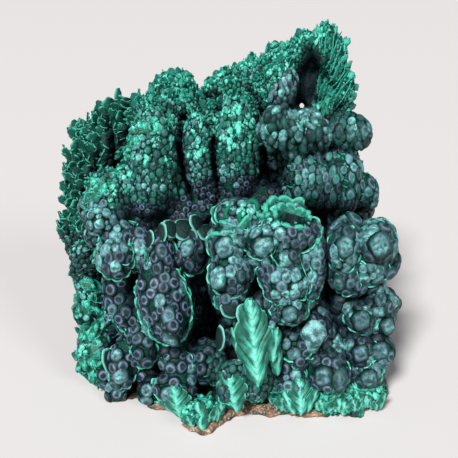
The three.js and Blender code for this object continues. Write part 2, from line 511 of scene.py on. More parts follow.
pod_down, pod_facing = unit(pod_down + 0.2 * pod_facing), unit(pod_facing - 0.2 * pod_down)

ball = started(bpy.ops.mesh.primitive_ico_sphere_add, subdivisions=3, radius=1)
ball_places, _ = arrays_of(ball)
ball_corners = corners_of(ball)
bpy.data.objects.remove(ball)
thick = pod_sizes[:, 2] + 2.5 * MM
pod_turns = axes((pod_across, pod_sizes[:, 0]), (pod_down, pod_sizes[:, 1]), (pod_facing, thick))
pod_middles = pod_spots + pod_facing * (pod_sizes[:, 2] - thick)[:, None]
pods = piece_from("pods", *copies_of(ball_places, ball_corners, pod_turns, pod_middles))
bpy.ops.object.select_all(action="DESELECT")
pods.select_set(True)
mass.select_set(True)
bpy.context.view_layer.objects.active = mass
bpy.ops.object.join()
skinned(mass, SKIN, 2)

# The open cup in the front crown is a hole sunk from above, in a shallow dip.
CUP_X, CUP_Y = 34.5 * MM, -29 * MM
CROWN_FOOT = 100 * MM


def from_cup(spots):
    """How far each point of the front crown is from the middle of the cup: 1 or less is over its hole."""
    near = ((spots[:, 0] - CUP_X) / (5.4 * MM)) ** 2 + ((spots[:, 1] - CUP_Y) / (5.8 * MM)) ** 2
    return np.where(spots[:, 2] > CROWN_FOOT, near, np.inf)


places, _ = arrays_of(mass)
near = from_cup(places)
cup = near < 1
places[:, 2] -= 5 * MM * np.exp(-(near / 4) ** 2) * np.clip((places[:, 2] - CROWN_FOOT) / (12 * MM), 0, 1)
places[cup, 2] -= 15 * MM * np.sqrt(1 - near[cup])
moved(mass, places)

# Each zone of growth, in millimetres: its middle and half-sizes, the radius of its smallest and largest
# lobes, how far they hang down and stand out, how close they sit, how strong their rings, pale crowns, green,
# haze and mint are, and how deeply the zone is fluted. The rings are partly painted sheen and the pale crowns
# partly painted highlight.
TRAITS = ("at", "reach", "radius", "hang", "rise", "close", "ring", "pale", "green", "haze", "mint", "flute")
ZONES = {
    "left_columns": ((-44, 2, 128), (26, 22, 24), (0.9, 2.6), 1.2, 0.9, 0.68, 0.2, 0.4, 0.9, 0.2, 0.42, 2.2),
    "left_ledge": ((-64, -6, 98), (15, 16, 14), (1.6, 3.2), 1.2, 0.8, 0.66, 0.5, 0.6, 0.3, 0.8, 0.25, 0),
    "left_feet": ((-40, 0, 103), (20, 16, 9), (2, 2.6), 1.1, 0.5, 0.68, 1, 0, 0.1, 0.1, 0, 0),
    "left_hump": ((-27, 34, 160), (22, 16, 14), (0.9, 1.4), 1.3, 1.2, 0.72, 0, 0.1, 1, 0.1, 0.45, 2),
    "middle_columns": (
        (-2, 16, 140), (24, 16, 24), (0.8, 2.1), 1.3, 0.9, 0.68, 0.1, 0.35, 1, 0.15, 0.52, 2.4),
    "column_feet": ((2, 12, 112), (24, 16, 12), (2, 2.6), 1, 0.5, 0.68, 1, 0, 0.05, 0.1, 0, 0),
    "peak_left": ((22, 32, 176), (24, 14, 18), (0.9, 1.4), 1.3, 1.3, 0.72, 0, 0.05, 1, 0.1, 0.5, 2.4),
    "peak_right": ((63, 28, 174), (12, 14, 30), (0.9, 1.4), 1.6, 0.8, 0.72, 0, 0, 1, 0.1, 0.5, 2.2),
    "peak_inside": ((36, 18, 166), (8, 10, 11), (1.4, 2.6), 1.8, 0.8, 0.66, 0.5, 0.6, 0.2, 1.1, 0, 0.6),
    "ledge": ((37, 2, 150), (18, 14, 10), (0.9, 2.8), 1.7, 2.2, 0.6, 0.1, 0.55, 0.45, 0.4, 0.2, 2.4),
    "ledge_right": ((67, 4, 150), (14, 14, 11), (1.4, 2.6), 1.5, 0.7, 0.66, 0.2, 0.1, 0.6, 0.5, 0.15, 0.4),
    "curtain": ((58, 2, 124), (26, 16, 20), (1.8, 2.5), 1.7, 0.6, 0.66, 0.8, 0.1, 0.8, 0.3, 0.06, 1.6),
    "front_crown": ((25, -20, 114), (26, 16, 8), (1.6, 3), 1.2, 0.8, 0.66, 0.5, 0.3, 0.4, 0.7, 0.3, 0.4),
    "front_middle": ((33, -28, 86), (22, 18, 28), (2.3, 3.6), 1.3, 0.8, 0.58, 0.7, 0.45, 0.2, 0.7, 0.1, 0),
    "front_left": ((1, -26, 82), (14, 16, 28), (2.2, 3.5), 1.3, 0.75, 0.58, 0.7, 0.4, 0.3, 0.6, 0.14, 0),
    "front_right": ((73, -22, 86), (24, 18, 28), (2.6, 4), 1.4, 0.85, 0.58, 0.6, 0.38, 0.35, 0.45, 0.24, 0),
    "right_shade": ((62, -4, 62), (30, 16, 26), (2.4, 3.2), 1.1, 0.6, 0.68, 0.5, 0, 0.1, 0.1, 0, 0),
    "lower_right": ((74, -24, 34), (24, 18, 30), (2.6, 4), 1.2, 0.85, 0.58, 0.65, 0.3, 0.25, 0.3, 0.16, 0),
    "right_foot": ((68, -38, 9), (28, 16, 11), (1.4, 2.6), 1, 0.8, 0.68, 0.1, 0.3, 0.9, 0.1, 0.5, 0),
    "lower_middle": ((42, -34, 38), (16, 16, 20), (2.4, 3.8), 1.1, 0.7, 0.66, 0.8, 0.25, 0.2, 0.4, 0.05, 0),
    "fan_bed": ((8, -40, 30), (20, 16, 28), (1.2, 2.6), 1.3, 0.8, 0.68, 0.3, 0.05, 0.6, 0.1, 0.2, 0.8),
    "skirt": ((16, -48, 7), (46, 14, 10), (1, 2), 1.2, 0.8, 0.7, 0, 0.1, 1, 0.1, 0.5, 0.6),
    "hollow_top": ((-40, -4, 86), (32, 16, 14), (2.8, 3.9), 1.5, 0.5, 0.62, 1, 0.12, 0.1, 0.35, 0, 0),
    "hollow": ((-34, -10, 52), (34, 18, 26), (2.9, 3.9), 1.15, 0.5, 0.64, 1, 0.04, 0.1, 0.15, 0, 0),
    "hollow_floor": ((-36, -24, 22), (32, 18, 16), (2.6, 4.2), 1, 0.7, 0.66, 1, 0.1, 0.1, 0.3, 0.02, 0),
    "left_rim": ((-80, -10, 38), (12, 16, 34), (1.2, 2.4), 1.1, 0.7, 0.7, 0, 0.2, 0.9, 0.1, 0.5, 0.8),
    "left_knot": ((-84, 6, 68), (12, 14, 16), (1.4, 2.1), 1, 1.1, 0.68, 0.1, 0.1, 0.3, 0.1, 0, 0.5),
    "leafy_edge": ((-74, 32, 122), (28, 16, 40), (1.2, 2.2), 1.2, 0.9, 0.75, 0, 0, 0.5, 0.1, 0.03, 4.2),
    "back": ((0, 62, 80), (120, 30, 110), (2.6, 4.8), 1.1, 0.7, 0.7, 0.7, 0.1, 0.4, 0.3, 0.05, 0),
}
ZONES = {name: dict(zip(TRAITS, row)) for name, row in ZONES.items()}


def zone_of(spots):
    """The nearest zone to each point, counted in the zone's own half-sizes."""
    return np.stack([
        np.linalg.norm((spots / MM - np.array(zone["at"])) / np.array(zone["reach"]), axis=1)
        for zone in ZONES.values()
    ]).argmin(0)


def zone_values(zones, trait):
    """The value of a trait in each numbered zone."""
    return np.array([zone[trait] for zone in ZONES.values()])[zones]


def in_zone(zones, *names):
    """Whether each numbered zone is one of those named."""
    return np.isin(zones, [list(ZONES).index(name) for name in names])


places, normals = arrays_of(mass)
zones = zone_of(places)
slant = np.where(in_zone(zones, "peak_right"), -0.45, 0.0)
pitch = np.where(in_zone(zones, "leafy_edge"), 11, 5.2) * MM
beat = (places[:, 0] + 0.6 * places[:, 1] + slant * places[:, 2]) / pitch * FULL_TURN
beat += 1.3 * ramble(places, 14 * MM)
beat += 1.2 * np.sin(places[:, 2] / (9 * MM))
flute = zone_values(zones, "flute") * MM * (np.abs(np.sin(beat / 2)) - 0.6)
side_on = 1 - np.clip(normals[:, 2], 0, 1) * 0.6
places += normals * (flute * side_on * (from_window(places) > 6 * MM))[:, None]
# The malachite stays just clear of the floor, because the host rock bears it.
LIFT = 0.2 * MM
places[:, 2] = np.maximum(places[:, 2], LIFT)
moved(mass, places)
smoothed(mass.data)
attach(mass, "root")
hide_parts("malachite")
surface = bulk(mass)

# How much of the room each place sees decides how much painted shade it gets. It is asked along some lines,
# as far as SIGHT.
LOOKS = [Vector(look) for look in unit(chance.normal(size=(20, 3)))]
SIGHT = 0.03


def openness(spots, facing):
    """How much of the room each place sees past the mass around it, from 0 to 1."""
    seen = np.empty(len(spots))
    for index, (spot, out) in enumerate(zip(spots, facing)):
        out = Vector(out)
        start = Vector(spot) + out * MM
        clear = total = 0
        for look in LOOKS:
            slant = look.dot(out)
            ray = look if slant > 0 else -look
            total += abs(slant)
            if surface.ray_cast(start, ray, SIGHT)[0] is None:
                clear += abs(slant)
        seen[index] = clear / total
    # In the cleft above the hole and in the cup the value is cut further, which paints shade there.
    in_cleft = (spots[:, 2] > 156 * MM) & (facing[:, 1] < 0.5)
    seen *= np.where(in_cleft, np.clip(from_line(spots, CLEFT) / (6 * MM) - 0.2, 0, 1), 1)
    return seen * np.where(from_cup(spots) < 1.1, 0.05, 1)


spots, facing = scatter(mass, 9000)
seen = openness(spots, facing)
tree = tree_of(spots)
places, _ = arrays_of(mass)
mass_open = np.array([seen[tree.find(place)[1]] for place in places])
# The inside of the cup is painted fully shaded.
mass_open[from_cup(places) < 1.2] = 0
mark(mass.data, {"open": mass_open})


# ---- The ringed lobes ----
# Thousands of small round lobes cover the mass, each dark in the middle with a silky grey-violet ring,
# which is partly the lobe's own banding and partly a painted sheen.
# One lobe is modelled at each fineness and copied over the surface, the largest first.
EMERALD = (0.004, 0.21, 0.135)
SEA_GREEN = (0.035, 0.38, 0.27)
MINT = (0.075, 0.5, 0.36)
PALE_MINT = (0.22, 0.74, 0.6)
INK = (0.002, 0.006, 0.011)
DUSK_TEAL = (0.03, 0.085, 0.095)
LAVENDER = (0.135, 0.178, 0.28)
GREY_GREEN = (0.155, 0.39, 0.405)


def ringed_lobes():
    """Silky dark green lobes: a ring round each crown, pale or minty crowns where the lobe says so.

    The ring is partly own banding and partly painted sheen, and the pale crown is partly a painted highlight.
    Sheltered lobes and the foot of each lobe are darkened as painted shade.
    """
    r = Recipe("malachite_ringed")
    wobble = r.noise(2.2 * MM, 3.0)
    grain = r.noise(0.7 * MM, 4.0)
    patch = r.noise(7 * MM, 3.0)
    fate = r.attribute("fate")
    pale = r.attribute("pale")
    green = r.attribute("green")
    mint = r.attribute("mint")
    # lit: painted shade, from how much of the room the lobe sees. It dims the greens, the haze and the ring.
    lit = r.attribute("open").step(0.18, 0.82)
    haze = r.attribute("haze")
    cloud = (0.75 * wobble + 0.25 * grain).step(0.36, 0.62)
    rim = r.attribute("rim") + 0.26 * (wobble - 0.5)
    ring = 1 - abs(rim - (0.4 + 0.08 * fate)).step(0.03, 0.2)
    crown = rim.step(0.8, 0.1)
    edge = rim.step(0.6, 0.95)
    base = r.blend(edge * (0.3 + 0.7 * patch) * lit, INK, DEEP_TEAL)
    base = r.blend(edge * patch.step(0.45, 0.6) * lit * 0.7, base, SHADED_EMERALD)
    base = r.blend(haze * (rim.step(0.9, 0.55) * 0.3 + 0.45 * crown) * cloud * lit, base, DUSK_TEAL)
    base = r.blend(green * (0.2 + 0.8 * grain) * lit, base, SHADED_EMERALD)
    base = r.blend(green * green * crown * (0.2 + 0.8 * wobble) * lit, base, EMERALD)
    # The grey-violet ring is partly the lobe's own banding and partly a painted sheen.
    ringed = ring * r.attribute("ring") * (0.35 + 0.65 * cloud) * (0.4 + 0.6 * lit)
    base = r.blend(ringed, base, LAVENDER)
    pupil = rim.step(0.36, 0.2) * fate.step(0.35, 0.5)
    # The pale grey-green crown and its pale mint patches are partly the lobe's own worn tone and partly a
    # painted highlight.
    soft = rim.step(1.0, 0.4) * pale * (0.25 + 0.75 * cloud) * (1 - 0.55 * pupil)
    base = r.blend(soft * (1 - 0.5 * ringed), base, GREY_GREEN)
    base = r.blend(soft * wobble.step(0.48, 0.66) * patch.step(0.4, 0.6) * 0.85, base, PALE_MINT)
    chipped = (patch + 0.22 * (grain - 0.5) + 0.5 * (mint - 0.5)).step(0.56, 0.62)
    minty = r.blend(cloud, SEA_GREEN, r.blend(grain, MINT, PALE_MINT))
    base = r.blend(chipped * mint.step(0.02, 0.1), base, minty)
    # Painted shade: sheltered lobes sink to ink.
    base = r.blend((1 - lit) * 0.85, base, INK)
    # Painted shade: a dark band round the foot of each lobe, where it meets its neighbours.
    base = r.blend(r.attribute("rim").step(0.72, 0.98) * 0.85, base, INK)
    roughness = 0.38 + 0.26 * grain - 0.2 * pale
    return r.finish(base, roughness, grain + 0.5 * wobble, 0.16 * MM, Specular_IOR_Level=0.2)


def lobe_shape(sides, rings):
    """One closed lobe of radius 1, its crown at +Z and its buried underside drawn to a point."""
    shape = started(bpy.ops.mesh.primitive_uv_sphere_add, segments=sides, ring_count=rings, radius=1)
    bpy.ops.object.mode_set(mode="EDIT")
    bpy.ops.mesh.select_all(action="DESELECT")
    mesh = bmesh.from_edit_mesh(shape.data)
    for vertex in mesh.verts:
        vertex.select = vertex.co.z < -0.1
    mesh.select_flush(True)
    bmesh.update_edit_mesh(shape.data)
    bpy.ops.mesh.merge(type="CENTER")
    bpy.ops.object.mode_set(mode="OBJECT")
    return shape


def take_arrays(shape):
    """A modelled shape's vertices, triangles and numbers as arrays. The object itself is removed."""
    places, _ = arrays_of(shape)
    corners = corners_of(shape)
    traits = {}
    for layer in shape.data.attributes:
        if layer.data_type == "FLOAT" and layer.domain == "POINT":
            values = np.empty(len(places), np.float32)
            layer.data.foreach_get("value", values)
            traits[layer.name] = values
    bpy.data.objects.remove(shape)
    return places, corners, traits


def joined(name, places, corners, traits, material, smooth=True):
    """One piece of the malachite from arrays, with a number for each vertex under each trait."""
    places[:, 2] = np.maximum(places[:, 2], LIFT)
    piece = piece_from(name, places, corners, smooth)
    mark(piece.data, traits)
    piece.data.materials.append(material)
    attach(piece, "root")
    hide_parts("malachite")


def planted(name, shape, turns, spots, traits, material):
    """One piece of many copies: a shape's arrays turned and sized by three axes at each spot."""
    places, corners, own = shape
    values = {trait: np.tile(numbers, len(spots)) for trait, numbers in own.items()}
    values.update({trait: np.repeat(numbers, len(places)) for trait, numbers in traits.items()})
    joined(name, *copies_of(places, corners, turns, spots), values, material)


# The large smooth lobes that stand out: x and z in millimetres, radius, hang, paleness and mint.
# The paleness is partly the lobe's own tone and partly a painted highlight.
LARGE_LOBES = [
    (20, 103, 6.0, 1.0, 1.0, 0), (31, 98, 4.0, 1.4, 1.0, 0), (16, 92, 4.4, 1.2, 0.5, 0),
    (27, 87, 3.8, 1.0, 0.9, 0), (36, 88, 3.8, 1.1, 0.9, 0), (27, 77, 3.7, 1.0, 0.8, 0),
    (36, 78, 3.9, 1.1, 0.9, 0), (34, 67, 4.6, 1.0, 0.4, 0), (1, 101, 5.4, 1.1, 0.7, 0.2),
    (-2, 86, 5.6, 1.2, 0.9, 0), (7, 88, 3.2, 1.1, 0.3, 0), (2, 73, 4.0, 1.1, 0.1, 0),
    (61, 101, 5.0, 1.3, 0.3, 0), (66, 92, 4.0, 1.1, 0.3, 0), (58, 91, 3.6, 1.0, 0.2, 0.4),
    (78, 102, 6.2, 1.1, 0.5, 0), (86, 97, 5.0, 1.3, 0.4, 0), (76, 88, 4.0, 1.0, 0.4, 0),
    (66, 78, 4.0, 1.0, 0.2, 0), (75, 77, 4.0, 1.0, 0.2, 0.3), (84, 77, 4.4, 1.0, 0.2, 0),
    (73, 57, 5.2, 1.1, 0.3, 0), (83, 60, 4.6, 1.0, 0.4, 0), (89, 50, 4.8, 1.0, 0.4, 0),
    (79, 48, 4.6, 1.0, 0.3, 0), (62, 28, 6.2, 1.2, 0.15, 0), (53, 30, 5.4, 1.2, 0.2, 0),
    (74, 38, 5.0, 1.0, 0.3, 0), (85, 37, 5.6, 1.0, 0.3, 0), (79, 24, 5.0, 1.0, 0.3, 0),
    (89, 25, 4.8, 1.1, 0.3, 0), (38, 40, 4.6, 1.1, 0.6, 0), (-57, 83, 3.8, 1.2, 0.9, 0),
    (-62, 91, 3.8, 1.2, 0.8, 0), (-53, 91, 3.4, 1.2, 0.5, 0), (-46, 90, 3.2, 1.3, 0.1, 0),
    (-19, 90, 4.6, 1.2, 0.6, 0), (-28, 47, 6.0, 1.1, 0.5, 0.1), (-29, 60, 4.4, 1.2, 0.4, 0),
    (-57, 20, 5.4, 1.1, 0.7, 0), (-33, 26, 4.4, 1.0, 0.1, 0), (-23, 26, 4.4, 1.0, 0.1, 0),
    (-47, 40, 4.2, 1.0, 0.1, 0), (-30, 15, 5.0, 1.1, 0.6, 0), (60, 151, 2.8, 1.5, 0.1, 0),
    (66, 150, 3.0, 1.7, 0.3, 0), (72, 151, 2.7, 1.6, 0.2, 0), (64, 143, 2.6, 1.2, 0.1, 0),
    (70, 144, 2.8, 1.2, 0.1, 0), (76, 144, 2.4, 1.2, 0.1, 0), (70, 158, 2.6, 1.0, 0.2, 0.2),
    (-65, 104, 3.4, 1.0, 0.95, 0), (-57, 106, 3.0, 1.2, 0.95, 0), (-69, 97, 3.2, 1.0, 0.9, 0),
    (-60, 98, 2.8, 1.1, 0.7, 0), (-48, 149, 2.6, 1.0, 0.5, 0.6), (-40, 152, 2.6, 1.0, 0.5, 0.6),
    (-34, 151, 3.2, 1.2, 0.6, 0.7), (-37, 138, 2.4, 1.2, 0.5, 0.6), (-44, 115, 3.2, 1.0, 0.4, 0.5),
    (-15, 152, 2.4, 1.0, 0.4, 0.7), (-10, 148, 2.2, 1.0, 0.4, 0.6), (8, 151, 2.2, 1.3, 0.4, 0.6),
    (-13, 130, 2.2, 1.0, 0.6, 0.5), (77, 119, 3.4, 1.1, 0.1, 0), (72, 112, 3.2, 1.1, 0.1, 0),
    (81, 111, 3.2, 1.1, 0.1, 0), (67, 119, 3.0, 1.2, 0.1, 0),
]
# In these zones the lobes grow in patches, with bare dark malachite between.
CLUSTERED = ("left_feet", "column_feet", "curtain", "hollow_top", "hollow", "hollow_floor", "front_left",
             "front_middle", "lower_middle", "right_shade", "back")

silky = ringed_lobes()
spots, facing = scatter(mass, 120000)
# No lobes grow in the hole, the cup or the cleft, close to the floor or on faces that look down.
zones = zone_of(spots)
bare = in_zone(zones, *CLUSTERED) & (ramble(spots, 7 * MM) < -0.75)
bare |= in_zone(zones, "leafy_edge") & (facing[:, 1] < 0.6)
bare |= (from_window(spots) < 5.5 * MM) | (from_cup(spots) < 2.6)
bare |= (spots[:, 2] < 3 * MM) | (facing[:, 2] < -0.6)
bare |= (from_line(spots, CLEFT) < 4.5 * MM) & (facing[:, 1] < 0.5)
spots, facing, zones = spots[~bare], facing[~bare], zones[~bare]
span = zone_values(zones, "radius")
radius = (span[:, 0] + (span[:, 1] - span[:, 0]) * chance.random(len(spots)) ** 2) * MM
hang = 1 + (zone_values(zones, "hang") - 1) * chance.uniform(0.3, 1.4, len(spots))
rise = zone_values(zones, "rise") * chance.uniform(0.8, 1.15, len(spots))
# Pale crowns are chosen more often on lobes that face up, where the light falls: painted highlight on top of
# their own worn tone.
upward = np.clip(facing[:, 2] + 0.3, 0, 1)
drift = 0.5 + 0.4 * ramble(spots, 9 * MM) + 0.18 * chance.normal(size=len(spots))
chosen = drift < zone_values(zones, "pale") * (0.5 + 1.1 * upward)
pale = np.where(chosen, chance.uniform(0.45, 1, len(spots)), chance.uniform(0, 0.08, len(spots)))
mint = zone_values(zones, "mint") * (0.5 + 0.9 * upward)
room = zone_values(zones, "close").copy()
standing_out = np.zeros(len(spots), bool)
# The lobe nearest each place of the table moves there and takes its size and looks.
for x, z, size, long, paleness, mintiness in LARGE_LOBES:
    place, out = touch(surface, x, z)
    nearest = np.linalg.norm(spots - place, axis=1).argmin()
    spots[nearest], facing[nearest] = place, unit(facing[nearest] + out + [0, -0.3, 0.3])
    radius[nearest], hang[nearest], rise[nearest], room[nearest] = size * MM, long, 0.78, 0.62
    pale[nearest], mint[nearest], standing_out[nearest] = paleness, mintiness, True
kept = settle(spots, radius * room, radius)
spots, facing, zones, radius = spots[kept], facing[kept], zones[kept], radius[kept]
hang, rise, pale, mint = hang[kept], rise[kept], pale[kept], mint[kept]
down, across = tangents(facing)
lean = unit(facing + 0.1 * chance.normal(size=facing.shape))
turns = axes((across, radius * 1.04), (down, radius * 1.04 * hang), (lean, radius * rise))
sunk = spots - lean * (0.25 * radius * rise)[:, None]
seen = openness(spots, facing)
lobe_traits = {
    "fate": chance.random(len(kept)),
    # Pale crowns fade on sheltered lobes: painted shade.
    "pale": pale * np.clip(0.2 + seen, 0, 1),
    "haze": zone_values(zones, "haze") * chance.uniform(0.6, 1.2, len(kept)),
    "ring": zone_values(zones, "ring") * chance.uniform(0.5, 1.2, len(kept)),
    "green": np.clip(zone_values(zones, "green") * chance.uniform(0.3, 1.4, len(kept)), 0, 1),
    "mint": mint,
    "open": seen,
}

named = standing_out[kept]
lobe_traits["fate"][named] = 0.2
# The larger the lobe, the finer its model. Each fineness is split from left to right into pieces of up to
# about PIECE_LIMIT triangles.
BROAD_LOBE = 3.6 * MM
FINE_LOBE = 1.9 * MM
PIECE_LIMIT = 190000
for size_name, chosen, sides, rings in (
        ("named", named, 18, 14),
        ("broad", ~named & (radius > BROAD_LOBE), 12, 9),
        ("middling", ~named & (radius <= BROAD_LOBE) & (radius > FINE_LOBE), 9, 7),
        ("fine", ~named & (radius <= FINE_LOBE), 7, 6)):
    shape = take_arrays(lobe_shape(sides, rings))
    shape[2]["rim"] = np.clip(np.arccos(np.clip(shape[0][:, 2], -1, 1)) / math.radians(75), 0, 1.2)
    if size_name == "named":
        swell = 0.07 * np.sin(shape[0] @ [4.1, 1.7, 3.3]) + 0.05 * np.sin(shape[0] @ [-2.6, 5.9, 2.2])
        shape[0][:] *= 1 + swell[:, None]
    which = np.flatnonzero(chosen)
    which = which[np.argsort(spots[which, 0])]
    groups = math.ceil(len(which) * len(shape[1]) / PIECE_LIMIT)
    for number, group in enumerate(np.array_split(which, groups)):
        traits = {trait: values[group] for trait, values in lobe_traits.items()}
        planted(f"lobes_{size_name}_{number + 1}", shape, turns[group], sunk[group], traits, silky)


# ---- The lips of the pods ----
# A thin scalloped shell edge, bright green along its lip, curls out round the foot of each pod.
def lip_material():
    """Dark green at the foot and bright sea green to pale mint along the lip."""
    r = Recipe("malachite_lips")
    grain = r.noise(3 * MM, 3.0)
    edge = r.attribute("edge")
    color = r.blend(edge * (0.4 + 0.6 * grain), NEAR_BLACK, SHADED_EMERALD)
    color = r.blend(edge.step(0.5, 0.85) * (0.2 + 0.8 * grain.step(0.35, 0.55)), color, SEA_GREEN)
    color = r.blend(edge.step(0.75, 0.95) * grain.step(0.48, 0.68), color, PALE_MINT)
    return r.finish(color, 0.4 + 0.2 * grain, grain, 0.1 * MM, Specular_IOR_Level=0.3)


def lips(name, lines, thickness, material, smooth=True, **constants):
    """One piece of thin curling edges. Each line holds the places of its foot and of its lip."""
    places, corners, edges, count = [], [], [], 0
    for foot, lip in lines:
        size = len(foot)
        side = unit(np.cross(np.gradient(foot, axis=0), lip - foot)) * thickness / 2
        places += [foot - side, foot + side, lip + side * 0.7, lip - side * 0.7]
        edges += [np.zeros(2 * size), np.ones(2 * size)]
        steps = np.arange(size - 1)
        for k in range(4):
            a = count + k * size + steps
            b = count + (k + 1) % 4 * size + steps
            corners += [np.stack([a, b, b + 1], 1), np.stack([a, b + 1, a + 1], 1)]
        first = count + np.arange(4) * size
        last = first + size - 1
        corners += [first[[[0, 2, 1], [0, 3, 2]]], last[[[0, 1, 2], [0, 2, 3]]]]
        count += 4 * size
    traits = {"edge": np.concatenate(edges)}
    traits.update({trait: np.full(len(traits["edge"]), value) for trait, value in constants.items()})
    joined(name, np.concatenate(places), np.concatenate(corners), traits, material, smooth)


def evened(rows, times):
    """A run of places or ways with its kinks smoothed out, both ends kept."""
    rows = np.array(rows)
    for _ in range(times):
        rows[1:-1] = (rows[:-2] + 2 * rows[1:-1] + rows[2:]) / 4
    return rows


lines = []
for number, (middle, out, down, across, size) in enumerate(
        zip(pod_middles, pod_facing, pod_down, pod_across, pod_sizes)):
    named = number < len(PODS)
    high = middle[2] > FRONT_TOP * MM or (middle[2] > 102 * MM and middle[1] > -12 * MM)
    if out[1] > 0.4 or high or (not named and chance.random() < 0.4):
        continue
    reach = size[:2].mean()
    start, stop = (-0.9, 3.9) if named else (chance.uniform(0.0, 0.9), chance.uniform(2.2, 3.2))
    angles = np.arange(start, stop, 0.8 * MM / reach)
    beat = np.abs(np.sin(angles * reach / chance.uniform(2.6, 4.2) / MM * math.pi / 2)) ** 0.6
    spokes = np.cos(angles)[:, None] * across * size[0] + np.sin(angles)[:, None] * down * size[1]
    feet, away = [], []
    for spot in middle + spokes * (0.96 + 0.07 * beat)[:, None] + out * 1.5 * MM:
        place, normal, _, _ = surface.find_nearest(Vector(spot))
        feet.append(place)
        away.append(normal)
    feet, away = evened(feet, 3), evened(away, 3)
    curl = unit(unit(away) + 0.7 * unit(spokes) - [0, 0.3, 0])
    ends = np.clip((np.minimum(np.arange(len(feet)), np.arange(len(feet))[::-1]) + 0.2) / 5, 0, 1)
    height = (2.7 if named else 1.9) * MM * (0.45 + 0.55 * beat) * ends
    lines.append((feet - curl * 0.5 * MM, feet + curl * height[:, None]))
lips("pod_lips", lines, 0.36 * MM, lip_material())


# ---- The leafy fronds ----
# Velvety curtains of malachite, scalloped like kale, stand up the back left, the hump and the peak.
# Three fronds and one small scale are modelled, and their copies grow out of the mass, each its own way.
def leafy_malachite(name, deep, face, margin, heart):
    """Granular velvet with fine barbs, a paler margin, and a glowing heart where the copy says so.

    Sheltered copies are darkened to the deep colour as painted shade.
    """
    r = Recipe(name)
    grain = r.noise(0.9 * MM, 4.0)
    cloud = r.noise(6 * MM, 3.0)
    edge = r.attribute("edge")
    # lit: painted shade, from how much of the room each copy sees.
    lit = r.attribute("open").step(0.08, 0.65) * 0.85 + 0.15
    barbs = (r.attribute("barb") * FULL_TURN).sine() * 0.5 + 0.5
    base = r.blend((0.1 + 0.8 * grain) * (0.2 + 0.9 * cloud) * lit, deep, face)
    base = r.blend(barbs * 0.3, base, deep)
    base = r.blend(edge.step(0.66, 0.96) * (0.3 + 0.7 * grain) * lit, base, margin)
    glowing = r.attribute("glow") * (0.55 * grain + 0.45 * (1 - edge) + 0.3 * barbs)
    base = r.blend(glowing.step(0.3, 0.75), base, heart)
    base = r.blend((1 - lit) * 1.2, base, deep)
    return r.finish(base, 0.5 + 0.25 * grain, grain + 0.4 * barbs, 0.3 * MM, Specular_IOR_Level=0.2)


def walled(sheet, thickness, traits):
    """A modelled sheet, given its numbers and an even thickness."""
    mark(sheet.data, traits)
    wall = sheet.modifiers.new("wall", "SOLIDIFY")
    wall.thickness = thickness
    wall.offset = 0
    apply_modifiers(sheet)
    return sheet


def frond_shape(lobes, barbs, columns, rows, cup, wave, slant=0.22, notch=0.34):
    """A leaf 1 long and about 1 to each side of its rib, which stands along +Y and faces +Z.

    The lobes scallop each side to the depth of notch, and the barbs are fine ribs that slant up from the rib.
    """
    frond = started(bpy.ops.mesh.primitive_grid_add, x_subdivisions=columns, y_subdivisions=rows, size=2)
    places, _ = arrays_of(frond)
    out = np.abs(places[:, 0])
    along = (places[:, 1] + 1) / 2
    barb = along - slant * out ** 1.2
    beat = (lobes * barb + 0.45 * (places[:, 0] > 0)) % 1
    leaflet = np.sin(math.pi * beat)
    deep = notch * np.clip(3 - 3 * along, 0, 1)
    width = 1.5 * (along + 0.05) ** 0.5 * (1.02 - along) ** 0.5 * (1 - deep * (1 - leaflet ** 0.5) * out)
    width *= 1 + 0.13 * np.sin(9 * along + 3 * places[:, 0])
    depth = -cup * out ** 2 + 0.16 * leaflet * out + 0.08 * np.exp(-(out / 0.12) ** 2)
    depth += 0.02 * np.sin(barb * barbs * FULL_TURN) - 0.25 * along ** 2
    depth += wave * np.sin(along * 5 + 2 * places[:, 0])
    tall = along + 0.05 * leaflet * out - 0.05 - 0.14 * out ** 2 * along ** 8
    moved(frond, np.stack([places[:, 0] * width, tall, depth], axis=1))
    traits = {"edge": np.maximum(out, along ** 6), "barb": barb * barbs, "leaflet": leaflet, "out": out}
    return walled(frond, 0.1, traits)


def upright(up, front, width, length):
    """Turns that stand a frond along up, facing as near front as it can, at its own width and length."""
    side = unit(np.cross(up, front))
    ahead = np.cross(side, up)
    return axes((side, width), (up, length), (ahead, width))


UP = np.array([0, 0, 1.0])
BRIGHT_EMERALD = (0.008, 0.31, 0.225)
leafy = leafy_malachite("malachite_leafy", NEAR_BLACK, EMERALD, MINT, MINT)
bright = leafy_malachite("malachite_plume", DEEP_TEAL, BRIGHT_EMERALD, SEA_GREEN, MINT)
fronds = [
    take_arrays(frond_shape(lobes=2, barbs=9, columns=6, rows=13, cup=0.35, wave=0.06)),
    take_arrays(frond_shape(lobes=3, barbs=10, columns=6, rows=15, cup=0.1, wave=-0.1)),
    take_arrays(frond_shape(lobes=2, barbs=8, columns=6, rows=13, cup=0.6, wave=0.1)),
]


def scale_shape():
    """A thin cupped scale with a rounded top, 1 to each side and 1 tall, which faces +Z."""
    scale = started(bpy.ops.mesh.primitive_grid_add, x_subdivisions=4, y_subdivisions=3, size=2)
    places, _ = arrays_of(scale)
    out = np.abs(places[:, 0])
    along = (places[:, 1] + 1) / 2
    width = 0.55 + 0.45 * np.sin(along * 2.2)
    tall = along * (1 - 0.5 * out ** 2.2)
    moved(scale, np.stack([places[:, 0] * width, tall, -0.35 * out ** 2 - 0.2 * along ** 2], axis=1))
    return walled(scale, 0.16, {"edge": np.maximum(out ** 2, along), "barb": along * 2 + out})


scale = take_arrays(scale_shape())
